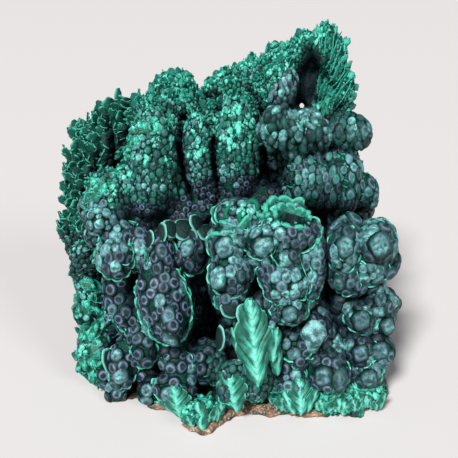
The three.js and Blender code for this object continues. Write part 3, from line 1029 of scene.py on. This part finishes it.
# What grows where: the half-width, length and spacing in millimetres, how upright it stands, how far it
# stands off the mass, and its colour. Scales cover whole zones, and fronds break their outlines.
STANDS = [
    ("leafy_edge", "scale", (1.4, 2.8), (2.0, 4.0), 1.15, 0.6, 0.9, leafy),
    ("left_knot", "scale", (1.2, 2.4), (2, 4), 1.5, 0.4, 0.9, leafy),
    ("left_rim", "scale", (1.2, 2.6), (2, 4), 2.0, 0.4, 0.9, bright),
    ("left_hump", "scale", (1.0, 1.9), (2, 3.8), 1.05, 0.9, 0.6, bright),
    ("peak_left", "scale", (1.0, 2.0), (2, 4.0), 1.0, 0.9, 0.6, bright),
    ("peak_right", "scale", (1.0, 1.7), (1.6, 2.6), 1.2, 0.9, 0.6, bright),
    ("middle_columns", "scale", (0.7, 1.4), (1.4, 2.6), 1.3, 0.8, 0.7, bright),
    ("left_columns", "scale", (0.7, 1.4), (1.4, 2.6), 1.6, 0.8, 0.7, bright),
    ("curtain", "scale", (1.0, 2.0), (2.0, 3.6), 1.3, 0.8, 0.7, bright),
    ("ledge", "scale", (0.8, 1.5), (1.4, 2.6), 1.7, 0.6, 0.9, bright),
    ("skirt", "scale", (1.6, 3.4), (2.6, 5), 1.6, 0.8, 0.8, bright),
    ("right_foot", "scale", (1.4, 2.8), (2, 4), 1.8, 0.7, 0.9, bright),
    ("leafy_edge", "frond", (2.8, 5.0), (4.5, 9.5), 2.3, 0.9, 0.6, leafy),
    ("left_hump", "frond", (2.0, 3.4), (4, 6.5), 2.0, 1.0, 0.35, bright),
    ("peak_left", "frond", (2.0, 3.4), (3.5, 6.0), 2.0, 1.0, 0.4, bright),
    ("peak_right", "frond", (2.4, 3.8), (4, 6.5), 2.2, 0.9, 0.3, bright),
    ("middle_columns", "frond", (1.0, 1.9), (3, 5.5), 2.4, 1.0, 0.4, bright),
]
# The scales up the right of the peak sit in rows that fan out from one foot, at x and z in millimetres.
FAN_FOOT = (42, 124)
ROW_STEP = 0.055
# Each is rooted this deep in the mass.
ROOT = 1.2 * MM
for zone, kind, half_widths, lengths, spacing, upward, outward, material in STANDS:
    spots, facing = scatter(mass, 30000)
    inside = in_zone(zone_of(spots), zone) & (facing[:, 1] < 0.8)
    inside &= (from_window(spots) > 8 * MM) & (from_line(spots, CLEFT) > 5.5 * MM)
    if zone in ("curtain", "ledge", "middle_columns", "left_columns"):
        height = (spots[:, 2] / MM - ZONES[zone]["at"][2]) / ZONES[zone]["reach"][2]
        left_strip = (zone == "curtain") & (spots[:, 0] < 46 * MM)
        bareness = 0.4 if zone == "curtain" else 0.1
        inside &= left_strip | (ramble(spots, 6 * MM) + 1.4 * height > bareness)
    if kind == "frond" and zone == "peak_right":
        inside &= facing[:, 1] > -0.6
    spots, facing = spots[inside], facing[inside]
    if kind == "scale" and zone == "peak_right":
        ray = spots[:, [0, 2]] - np.array(FAN_FOOT) * MM
        angle = np.round(np.arctan2(ray[:, 1], ray[:, 0]) / ROW_STEP) * ROW_STEP
        angle += 0.003 * chance.normal(size=len(ray))
        row = np.linalg.norm(ray, axis=1)[:, None] * np.stack([np.cos(angle), np.sin(angle)], axis=1)
        for index in np.flatnonzero(facing[:, 1] < -0.3):
            spots[index], facing[index] = touch(surface, *(row[index] / MM + FAN_FOOT))
    kept = settle(spots, np.full(len(spots), spacing * MM))
    spots, facing = spots[kept], facing[kept]
    down, across = tangents(facing)
    sideways = across * chance.normal(0, 0.25, (len(kept), 1))
    up = unit(upward * UP + outward * facing + sideways)
    if zone == "peak_right":
        fanned = unit((spots - np.array([FAN_FOOT[0], 20, FAN_FOOT[1]]) * MM) * [1, 0.3, 1])
        up = unit(0.7 * facing + 1.2 * fanned)
    swing = chance.uniform(-0.9, 0.9, len(kept)) * (zone == "leafy_edge")
    front = facing + np.array([0.1, -0.6, 0]) + across * swing[:, None]
    front = unit(front + 0.35 * chance.normal(size=facing.shape))
    width = chance.uniform(*half_widths, len(kept)) * MM
    length = chance.uniform(*lengths, len(kept)) * MM
    turns = upright(up, front, width, length)
    seen = openness(spots, facing)
    glow = chance.random(len(kept)) ** 1.5 * ZONES[zone]["mint"] * 2.4
    glow = np.clip(glow + 0.55 * (zone == "peak_right"), 0, 1)
    for number, shape in enumerate([scale] if kind == "scale" else fronds):
        mine = np.arange(len(kept)) % 3 == number if kind == "frond" else np.full(len(kept), True)
        traits = {"open": seen[mine], "glow": glow[mine]}
        roots = spots[mine] - up[mine] * ROOT
        planted(f"{kind}s_{zone}_{number + 1}", shape, turns[mine], roots, traits, material)


# ---- The ridged fan ----
# Low notched ridges fan out up the right of the peak from the same foot as its rows of scales.
def ridges(points, zone, height, lean, scallop):
    """The ridges along x and z points where they cross a zone, each as its foot and its notched lip."""
    feet, away, runs = [], [], []
    for x, z in points:
        place, out = touch(surface, x, z)
        inside = in_zone(zone_of(place[None]), zone)[0] and from_line(place[None], CLEFT)[0] > 6 * MM
        if not inside or (feet and np.linalg.norm(place - feet[-1]) > 3 * MM):
            runs.append((feet, away))
            feet, away = [], []
        if inside:
            feet.append(place)
            away.append(out)
    runs.append((feet, away))
    kept = []
    for feet, away in runs:
        if len(feet) < 14:
            continue
        feet, away = evened(feet, 8), evened(away, 8)
        steps = np.arange(len(feet))
        ends = np.clip((np.minimum(steps, steps[::-1]) + 1) / 8, 0.2, 1)
        beat = np.abs(np.sin(steps * 0.7 / scallop * math.pi)) ** 0.6
        beat += 0.25 * np.abs(np.sin(steps * 2.3 / scallop * math.pi))
        curl = unit(unit(away) + np.array(lean) + 0.25 * np.sin(steps * 0.35)[:, None] * [1, 0, 0])
        tall = height * MM * (0.62 + 0.38 * beat) * ends
        kept.append((feet - curl * 1.5 * MM, feet + curl * tall[:, None]))
    return kept


lines = []
for angle in np.radians(np.arange(26, 86, 2.4)):
    reach = np.arange(20, 86, 0.7)
    points = zip(FAN_FOOT[0] + reach * math.cos(angle), FAN_FOOT[1] + reach * math.sin(angle))
    height = chance.uniform(1.9, 3.0)
    lines += ridges(points, "peak_right", height, (-0.5, -0.2, 0.6), chance.uniform(1.8, 2.6))
lips("fan_ridges", lines, 0.8 * MM, bright, smooth=False, barb=0.0, glow=0.7, open=1.0)


# ---- The blades ----
# Short upright prisms crowd the tops of the columns, the hump and the edges of the peak.
def blade_shape():
    """One blade, 1 long and 0.3 wide, with a slanting broken tip and bevelled edges."""
    blade = started(bpy.ops.mesh.primitive_cube_add, size=1, location=(0, 0, 0.5))
    bpy.ops.transform.resize(value=(0.3, 0.17, 1), center_override=(0, 0, 0))
    bpy.ops.object.transform_apply(location=True, rotation=True, scale=True)
    bpy.ops.object.mode_set(mode="EDIT")
    mesh = bmesh.from_edit_mesh(blade.data)
    bpy.ops.mesh.select_all(action="DESELECT")
    for face in mesh.faces:
        face.select = face.normal.z > 0.9
    bmesh.update_edit_mesh(blade.data)
    bpy.ops.mesh.inset(thickness=0.05)
    bpy.ops.transform.translate(value=(0.03, 0, 0.16))
    bpy.ops.mesh.select_all(action="SELECT")
    bpy.ops.mesh.bevel(offset=0.03, segments=1)
    bpy.ops.object.mode_set(mode="OBJECT")
    return blade


blade = take_arrays(blade_shape())
blade[2]["edge"] = np.clip(blade[0][:, 2], 0, 1)
blade[2]["barb"] = blade[0][:, 2] * 1.5
BLADED = ("left_hump", "middle_columns", "peak_left", "peak_right", "left_columns")
spots, facing = scatter(mass, 30000)
zones = zone_of(spots)
upward = facing[:, 2] + 0.25 * chance.normal(size=len(spots))
wanted = in_zone(zones, *BLADED) & (upward > 0.4) & (ramble(spots, 5 * MM) > -0.4)
wanted &= (from_window(spots) > 7 * MM) & (from_line(spots, CLEFT) > 5.5 * MM)
spots, facing, zones = spots[wanted], facing[wanted], zones[wanted]
kept = settle(spots, chance.uniform(0.5, 1.0, len(spots)) * MM)
spots, facing, zones = spots[kept], facing[kept], zones[kept]
up = unit(0.6 * facing + np.array([0, 0, 0.9]) + 0.2 * chance.normal(size=facing.shape))
side = unit(np.cross(up, chance.normal(size=up.shape)))
length = chance.uniform(2.0, 4.6, len(kept)) * MM
thick = chance.uniform(2.4, 5.0, len(kept)) * MM
turns = axes((side, thick), (np.cross(up, side), thick), (up, length))
glow = np.clip(zone_values(zones, "mint") * 1.6 * chance.random(len(kept)) ** 1.3, 0, 1)
blade_traits = {"open": openness(spots, facing), "glow": glow}
planted("blades", blade, turns, spots - up * ROOT, blade_traits, bright)


# ---- The feathers at the foot ----
# Broken open at the front, the growth shows as feathery fans of pale mint with fine curving barbs.
def feather_malachite():
    """Silky mint, palest along the rib and its branches, emerald between them, with a thin light outline."""
    r = Recipe("malachite_feather")
    edge = r.attribute("edge")
    out = r.attribute("out")
    fine = r.noise(0.5 * MM, 3.0)
    cloud = r.noise(4 * MM, 3.0)
    hairs = (r.attribute("barb") * 9 + 4 * cloud + 2 * fine).sine() * 0.5 + 0.5
    leaflet = r.attribute("leaflet")
    branch = leaflet.step(0.6, 1.0) * (1 - out.step(0.25, 0.75)) * (0.5 + cloud)
    heart = 1 - out.step(0.02, 0.38)
    between = r.blend(cloud.step(0.4, 0.7), SHADED_EMERALD, BRIGHT_EMERALD)
    base = r.blend(out.step(0.02, 0.35), SEA_GREEN, between)
    base = r.blend(branch * (0.25 + 0.6 * hairs), base, MINT)
    base = r.blend((heart + 0.4 * branch) * cloud.step(0.25, 0.65) * (0.5 + 0.5 * hairs), base, PALE_MINT)
    base = r.blend((1 - leaflet.step(0.0, 0.7)) * out.step(0.04, 0.2) * 0.95, base, SHADED_EMERALD)
    base = r.blend(hairs * (0.2 + 0.4 * out), base, SHADED_EMERALD)
    base = r.blend(out.step(0.3, 0.85) * (0.35 + 0.65 * cloud.step(0.3, 0.6)) * 0.75, base, SHADED_EMERALD)
    base = r.blend(edge.step(0.93, 0.98) * 0.8, base, MINT)
    return r.finish(base, 0.42 + 0.2 * fine, hairs + 0.5 * fine, 0.15 * MM, Specular_IOR_Level=0.4)


feather = take_arrays(frond_shape(
    lobes=4, barbs=13, columns=30, rows=74, cup=0.28, wave=0.07, slant=0.26, notch=0.52))
scale_leaf = take_arrays(frond_shape(
    lobes=2, barbs=9, columns=10, rows=16, cup=0.4, wave=0.05, slant=0.25, notch=0.3))
# Each feather: its foot and its tip as x, y, z in millimetres, its half-width, and how it turns to the side.
FEATHERS = [
    ((18, -49, 30), (14, -45, 76), 11.5, 0.1), ((26, -46, 40), (29, -43, 58), 5.5, 0.5),
    ((29, -44, 30), (30, -41, 46), 5.0, 0.6), ((7, -50, 12), (2, -50, 35), 9.5, -0.3),
    ((-23, -46, 3), (-27, -46, 22), 9.0, -0.2), ((42, -47, 7), (41, -45, 27), 8.5, 0.2),
    ((38, -48, 7), (32, -46, 20), 5.0, -0.4), ((46, -47, 8), (52, -44, 20), 4.5, 0.5),
    ((-11, -56, 2), (-14, -54, 19), 5.5, -0.3), ((11, -44, 40), (4, -40, 56), 4.5, -0.5),
]
feet, tips, half_widths = (np.array([row[part] for row in FEATHERS]) * MM for part in range(3))
front = unit(np.array([(row[3], -1, 0.25) for row in FEATHERS]))
turns = upright(unit(tips - feet), front, half_widths, np.linalg.norm(tips - feet, axis=1))
large = half_widths > 6 * MM
feathered = feather_malachite()
planted("feathers", feather, turns[large], feet[large], {}, feathered)
planted("feather_scales", scale_leaf, turns[~large], feet[~large], {}, feathered)

# A skirt of small overlapping fans along the whole front foot.
fans = [touch(surface, x, z) for x, z in zip(np.arange(-31, 87, 2.1), chance.uniform(3, 10, 57))]
feet = np.array([place for place, _ in fans]) * [1, 1, 0.7]
facing = unit(np.array([out for _, out in fans]) * [1, 1, 0] + [0, -0.5, 0.2])
sideways = chance.normal(0, 0.35, (len(fans), 1)) * np.cross(facing, [0, 0, 1.0])
up = unit(UP + 0.25 * facing + sideways)
length = chance.uniform(5, 10, len(fans)) * MM
turns = upright(up, facing + 0.5 * sideways, length * chance.uniform(0.5, 0.75, len(fans)), length)
planted("foot_fans", scale_leaf, turns, feet + facing * 0.8 * MM, {}, feathered)


# ---- The thin curled plates ----
# Round plates as thin as card stand on edge along the top of the hollow and beside the front columns.
def plate_shape():
    """A shallow round dish of radius 1 facing +Z."""
    dish = started(bpy.ops.mesh.primitive_uv_sphere_add, segments=28, ring_count=24, radius=1)
    bpy.ops.object.mode_set(mode="EDIT")
    bpy.ops.mesh.select_all(action="SELECT")
    bpy.ops.mesh.bisect(plane_co=(0, 0, 0.2), plane_no=(0, 0, 1), clear_inner=True)
    bpy.ops.mesh.select_all(action="SELECT")
    bpy.ops.transform.translate(value=(0, 0, -0.6))
    bpy.ops.transform.resize(value=(1, 1, 0.6), center_override=(0, 0, 0))
    bpy.ops.object.mode_set(mode="OBJECT")
    places, _ = arrays_of(dish)
    reach = np.hypot(places[:, 0], places[:, 1])
    angle = np.arctan2(places[:, 1], places[:, 0])
    ripple = 1 + 0.05 * np.sin(angle * 3 + 1) + 0.03 * np.sin(angle * 7)
    moved(dish, places * np.stack([ripple, ripple, np.ones(len(reach))], axis=1))
    return walled(dish, 0.06, {"edge": reach ** 1.6, "barb": reach * 3})


dish = take_arrays(plate_shape())
# Each plate: x, y, z of its middle, its half-width and half-height, and the way it faces.
PLATES = [
    ((-34, -12, 96), 4.0, 7.5, (-0.9, -1, 0.5)), ((-28, -9, 99), 4.5, 5.5, (0.9, -1, 0.9)),
    ((-21, -7, 98), 6.2, 6.8, (0.3, -1, 1.2)), ((-14, -4, 100), 4.6, 5.6, (1.1, -1, 0.9)),
    ((-9, -6, 96), 5.6, 5.2, (0.6, -1, 1.4)), ((-3, -4, 98), 4.0, 5.0, (-0.5, -1, 0.8)),
    ((-40, -13, 94), 3.6, 5.5, (-1.2, -1, 0.5)), ((-5, -33, 74), 3.6, 8.0, (-1.6, -1, 0.2)),
    ((5, -40, 68), 6.5, 5.0, (0.2, -1, 0.8)), ((11, -41, 65), 5.0, 5.5, (1.2, -1, 0.4)),
    ((-2, -41, 50), 3.8, 7.5, (-1.4, -1, 0.2)), ((-64, -26, 25), 4.5, 8.0, (1.4, -1, 0.4)),
    ((-18, -10, 94), 4.0, 5.0, (-0.6, -1, 0.6)),
]
middles, half_widths, half_heights = (np.array([row[part] for row in PLATES]) * MM for part in range(3))
front = unit(np.array([row[3] for row in PLATES], float))
up = unit(UP - front * front[:, 2:])
turns = upright(up, front, half_widths, half_heights)
thin = leafy_malachite("malachite_plates", NEAR_BLACK, DEEP_TEAL, PALE_MINT, MINT)
in_light = {"open": np.ones(len(PLATES)), "glow": np.zeros(len(PLATES))}
planted("curled_plates", dish, turns, middles, in_light, thin)


# ---- The open crown ----
# The top of the front column has burst open: thick mint ribbons curl round a dark hole, and four small arches
# of mint stand beside it.
def rounded(points):
    """A line over the front crown through x and y points in millimetres, its corners cut three times over."""
    down = Vector((0, 0, -1))
    line = np.array([surface.ray_cast(Vector((x * MM, y * MM, 0.13)), down)[0] for x, y in points])
    for _ in range(3):
        ahead = line[1:] - line[:-1]
        cut = np.stack([line[:-1] + ahead / 4, line[:-1] + ahead * 0.75], axis=1).reshape(-1, 3)
        line = np.concatenate([line[:1], cut, line[-1:]])
    return line


def hoop_shape():
    """Three quarters of a ring, standing up, radius 1."""
    ring = bpy.ops.mesh.primitive_torus_add
    hoop = started(ring, major_radius=1, minor_radius=0.4, major_segments=24, minor_segments=10)
    bpy.ops.transform.rotate(value=math.radians(90), orient_axis="X", center_override=(0, 0, 0))
    bpy.ops.object.transform_apply(location=True, rotation=True, scale=True)
    bpy.ops.object.mode_set(mode="EDIT")
    bpy.ops.mesh.select_all(action="SELECT")
    bpy.ops.mesh.bisect(plane_co=(0, 0, -0.6), plane_no=(0, 0, 1), clear_inner=True, use_fill=True)
    bpy.ops.object.mode_set(mode="OBJECT")
    places, _ = arrays_of(hoop)
    mark(hoop.data, {"edge": np.full(len(places), 0.5), "barb": np.zeros(len(places))})
    return hoop


crown = leafy_malachite("malachite_crown", SHADED_EMERALD, EMERALD, MINT, PALE_MINT)
# Each ribbon: the line of its foot, its height, and how far its lip leans out from the middle of the crown.
RIBBONS = [
    ([(27, -34), (27, -27), (30, -22), (35, -20), (40, -22), (42, -27), (42, -33)], 3.6, 0.3),
    ([(29, -36), (34, -37.5), (40, -36)], 1.6, 0.4),
    ([(22, -30), (22, -22), (27, -17), (34, -15), (42, -17)], 4.2, 0.1),
    ([(46, -34), (49, -28), (48, -21), (43, -16)], 3.6, 0.3),
    ([(17, -22), (20, -27), (24, -28), (23, -33)], 2.8, 0.4), ([(23, -17), (29, -15), (35, -15)], 2.8, 0.3),
    ([(-6, -30), (0, -34), (7, -33)], 2.4, 0.3), ([(0, -24), (3, -28), (9, -29), (14, -26)], 2.2, 0.4),
    ([(49, -14), (52, -19), (51, -24)], 2.4, 0.6), ([(57, -26), (62, -29), (68, -27)], 1.6, 0.5),
]
crown_middle = np.array([34.5, -28, 110]) * MM
lines = []
for points, height, lean in RIBBONS:
    foot = rounded(points)
    outward = unit((foot - crown_middle) * [1, 1, 0])
    ripple = 0.6 + 0.6 * np.abs(np.sin(np.arange(len(foot)) * 0.39 + height))[:, None] ** 0.6
    lip = foot + unit(outward * lean * ripple + [0, 0, 1]) * height * ripple * MM
    lines.append((foot - [0, 0, 1.5 * MM], lip))
lips("crown_ribbons", lines, 3.0 * MM, crown, barb=0.3, glow=0.5, open=1.0)
hoop = take_arrays(hoop_shape())
# Each arch: its middle as x, y, z in millimetres, its size, and how it turns to the side.
HOOPS = [
    ((4, -23, 113), 2.8, 0.5), ((15, -22, 116), 3.0, -0.5), ((10, -25, 112), 2.6, 1.2),
    ((12, -27, 109), 2.2, -0.2),
]
facing = unit(np.array([[row[2], -1, 0.3] for row in HOOPS]))
up = unit(UP - facing * facing[:, 2:])
middles, size = (np.array([row[part] for row in HOOPS]) * MM for part in range(2))
turns = axes((np.cross(up, facing), size), (-facing, size * 1.3), (up, size * 1.2))
hoop_traits = {"open": np.ones(len(HOOPS)), "glow": np.full(len(HOOPS), 0.45)}
planted("hoops", hoop, turns, middles, hoop_traits, crown)


# ---- The mint flakes ----
# Where the surface has split away it shows broken silky flakes of mint: down the left rim, up the slanting
# ridge above it, along the foot and here and there on the columns.
def flake_malachite():
    """Broken silky fibres: mint with paler streaks and emerald hollows, with less mint where sheltered, as
    painted shade.
    """
    r = Recipe("malachite_flakes")
    streaks = r.noise(0.6 * MM, 3.0, (1, 1, 0.2))
    cloud = r.noise(3.5 * MM, 4.0)
    # lit: painted shade, from how much of the room each flake sees.
    lit = r.attribute("open").step(0.1, 0.7)
    base = r.blend(cloud.step(0.4, 0.65), SHADED_EMERALD, BRIGHT_EMERALD)
    base = r.blend(streaks.step(0.42, 0.64) * cloud.step(0.42, 0.64), base, SEA_GREEN)
    base = r.blend((streaks * 0.6 + cloud * 0.5).step(0.54, 0.74) * (0.3 + 0.7 * lit), base, MINT)
    base = r.blend((streaks * 0.5 + cloud * 0.6).step(0.62, 0.8), base, PALE_MINT)
    return r.finish(base, 0.45 + 0.25 * streaks, streaks + cloud, 0.3 * MM, Specular_IOR_Level=0.4)


def flake_shape(start):
    """A low broken lump of radius 1 and about a quarter as thick. The start makes each different."""
    flake = started(bpy.ops.mesh.primitive_ico_sphere_add, subdivisions=2, radius=1)
    places, _ = arrays_of(flake)
    rough = 1 + 0.16 * np.sin(places @ [7.1, 3.3, 5.7] + start)
    rough += 0.12 * np.sin(places @ [-4.2, 9.5, 6.1])
    moved(flake, places * rough[:, None] * [1, 0.72, 0.26])
    return flake


flakes = [take_arrays(flake_shape(start)) for start in (0, 2, 4)]
split = flake_malachite()
# Where the flakes lie: the zone, their smallest and largest size in millimetres, and how far apart they are.
FLAKED = [
    ('left_rim', (2.6, 6.0), 0.7), ('right_foot', (1.6, 4.6), 0.8), ('skirt', (1.2, 3.2), 1.2),
    ('front_crown', (0.8, 2.0), 2.6), ('left_columns', (0.8, 1.8), 4.0), ('middle_columns', (0.6, 1.5), 3.4),
    ('front_right', (0.6, 1.4), 7.0), ('left_ledge', (0.8, 1.8), 3.6),
]
for zone, sizes, spacing in FLAKED:
    spots, facing = scatter(mass, 16000)
    inside = in_zone(zone_of(spots), zone) & (ramble(spots, 6 * MM) > -0.2) & (facing[:, 1] < 0.5)
    spots, facing = spots[inside], facing[inside]
    size = (sizes[0] + (sizes[1] - sizes[0]) * chance.random(len(spots)) ** 2) * MM
    kept = settle(spots, size * spacing * 0.6, size)
    spots, facing, size = spots[kept], facing[kept], size[kept]
    tilt = unit(facing + 0.3 * chance.normal(size=facing.shape))
    down, across = tangents(tilt)
    swing = chance.normal(0, 0.6, (len(kept), 1))
    long_way = unit(down * np.cos(swing) + across * np.sin(swing))
    turns = axes((long_way, size * 1.4), (np.cross(tilt, long_way), size * 0.9), (tilt, size))
    seen = openness(spots, facing)
    for number, shape in enumerate(flakes):
        mine = np.arange(len(kept)) % 3 == number
        planted(f"flakes_{zone}_{number + 1}", shape, turns[mine], spots[mine], {"open": seen[mine]}, split)

# One large lobe low on the right has lost its skin and shows a pale faceted core.
def core_material():
    """Cloudy grey-green with white bruises."""
    r = Recipe("malachite_core")
    cloud = r.noise(4 * MM, 4.0)
    grain = r.noise(0.8 * MM, 4.0)
    base = r.blend(cloud.step(0.35, 0.65), DUSK_TEAL, GREY_GREEN)
    base = r.blend(grain.step(0.4, 0.7) * cloud.step(0.4, 0.6), base, (0.28, 0.58, 0.53))
    return r.finish(base, 0.35 + 0.2 * grain, grain + cloud, 0.3 * MM, Specular_IOR_Level=0.4)


core = started(bpy.ops.mesh.primitive_ico_sphere_add, subdivisions=3, radius=1)
places, _ = arrays_of(core)
CUTS = [
    (-0.6, -1, 0.6), (0.7, -1, 0.4), (0, -1, -0.5), (0.2, -0.5, 1), (-0.9, -0.6, -0.3), (0.9, -0.5, -0.6),
]
for cut in unit(np.array(CUTS)):
    over = np.maximum(places @ cut - 0.68, 0)
    places -= over[:, None] * cut
moved(core, places)
place, _ = touch(surface, 48, 49)
turns = np.array([np.diag([7.2, 6.0, 10])]) * MM
planted("broken_lobe", take_arrays(core), turns, place[None] + [0, -1.5 * MM, 0], {}, core_material())

# The slanting ridge of mint that climbs from the left ledge to the columns.
RIDGE = [(-76, 108), (-68, 117), (-61, 124), (-54, 132), (-49, 141), (-46, 149), (-36, 152)]
ridge = np.array(RIDGE, float)
along = chance.uniform(0, len(ridge) - 1.001, 210)
step = along.astype(int)
line = ridge[step] + (ridge[step + 1] - ridge[step]) * (along - step)[:, None]
line += chance.normal(0, 1.5, line.shape)
touched = [touch(surface, x, z) for x, z in line]
spots = np.array([place for place, _ in touched])
facing = np.array([out for _, out in touched])
size = chance.uniform(1.2, 3.0, len(spots)) * MM
tilt = unit(facing + [0, -0.3, 0.3] + 0.3 * chance.normal(size=facing.shape))
slope = unit(np.array([0.7, 0.1, 0.7]) + 0.3 * chance.normal(size=facing.shape))
slope = unit(slope - tilt * (slope * tilt).sum(1, keepdims=True))
turns = axes((slope, size * 1.4), (np.cross(tilt, slope), size), (tilt, size))
planted("flakes_ridge", flakes[0], turns, spots + facing * 0.5 * MM, {"open": np.ones(len(spots))}, split)


# ---- The host rock ----
# A thin broken plate of brown limonite under the malachite, which shows along the front of the base.
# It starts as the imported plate, is skinned over finely and roughened.
def host_rock():
    """Crumbly brown and tan rock with pale grains, ochre stains and green specks, painted near-black as shade
    where it lies under the malachite.
    """
    r = Recipe("host_rock_limonite")
    cloud = r.noise(9 * MM, 4.0)
    grain = r.noise(1.4 * MM, 5.0)
    crystals = r.node("ShaderNodeTexVoronoi", {}, {"Vector": r.place(), "Scale": 420.0}, "Distance")
    base = r.blend(cloud.step(0.35, 0.65), (0.06, 0.035, 0.022), (0.3, 0.19, 0.12))
    base = r.blend(grain.step(0.5, 0.7), base, (0.42, 0.33, 0.26))
    base = r.blend(cloud.step(0.6, 0.7) * grain.step(0.4, 0.6), base, (0.55, 0.3, 0.05))
    base = r.blend((1 - crystals.step(0.1, 0.3)) * 0.5, base, (0.62, 0.56, 0.5))
    base = r.blend((1 - cloud).step(0.58, 0.66), base, (0.01, 0.08, 0.055))
    # Painted shade: near-black where the rock lies under the malachite.
    base = r.blend(r.attribute("buried") * 0.95, base, NEAR_BLACK)
    return r.finish(base, 0.7 + 0.25 * grain, grain + crystals, 0.8 * MM, Specular_IOR_Level=0.25)


plate = skin_of("matrix", "host_rock_plate", host_rock(), 1.3 * MM, 1)
places, normals = arrays_of(plate)
rough = 0.7 * ramble(places, 3 * MM) + 0.5 * ramble(places, 1.6 * MM) + 1.2 * ramble(places, 9 * MM)
side_on = 1 - np.abs(normals[:, 2]) * 0.7
places += normals * (rough * side_on * MM)[:, None]
# Away from the broken front edge the rock thins out under the caves and is painted near-black there, as shade
# under the malachite.
middle_part = (np.abs(places[:, 0]) < 60 * MM) & (places[:, 1] < 40 * MM)
buried = np.clip((places[:, 1] + 36 * MM) / (10 * MM), 0, 1) * middle_part
places[:, 2] *= 1 - 0.8 * buried
mark(plate.data, {"buried": buried})
places[:, 2] = np.maximum(places[:, 2], 0.0)
moved(plate, places)
smoothed(plate.data)
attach(plate, "root")
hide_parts("matrix")
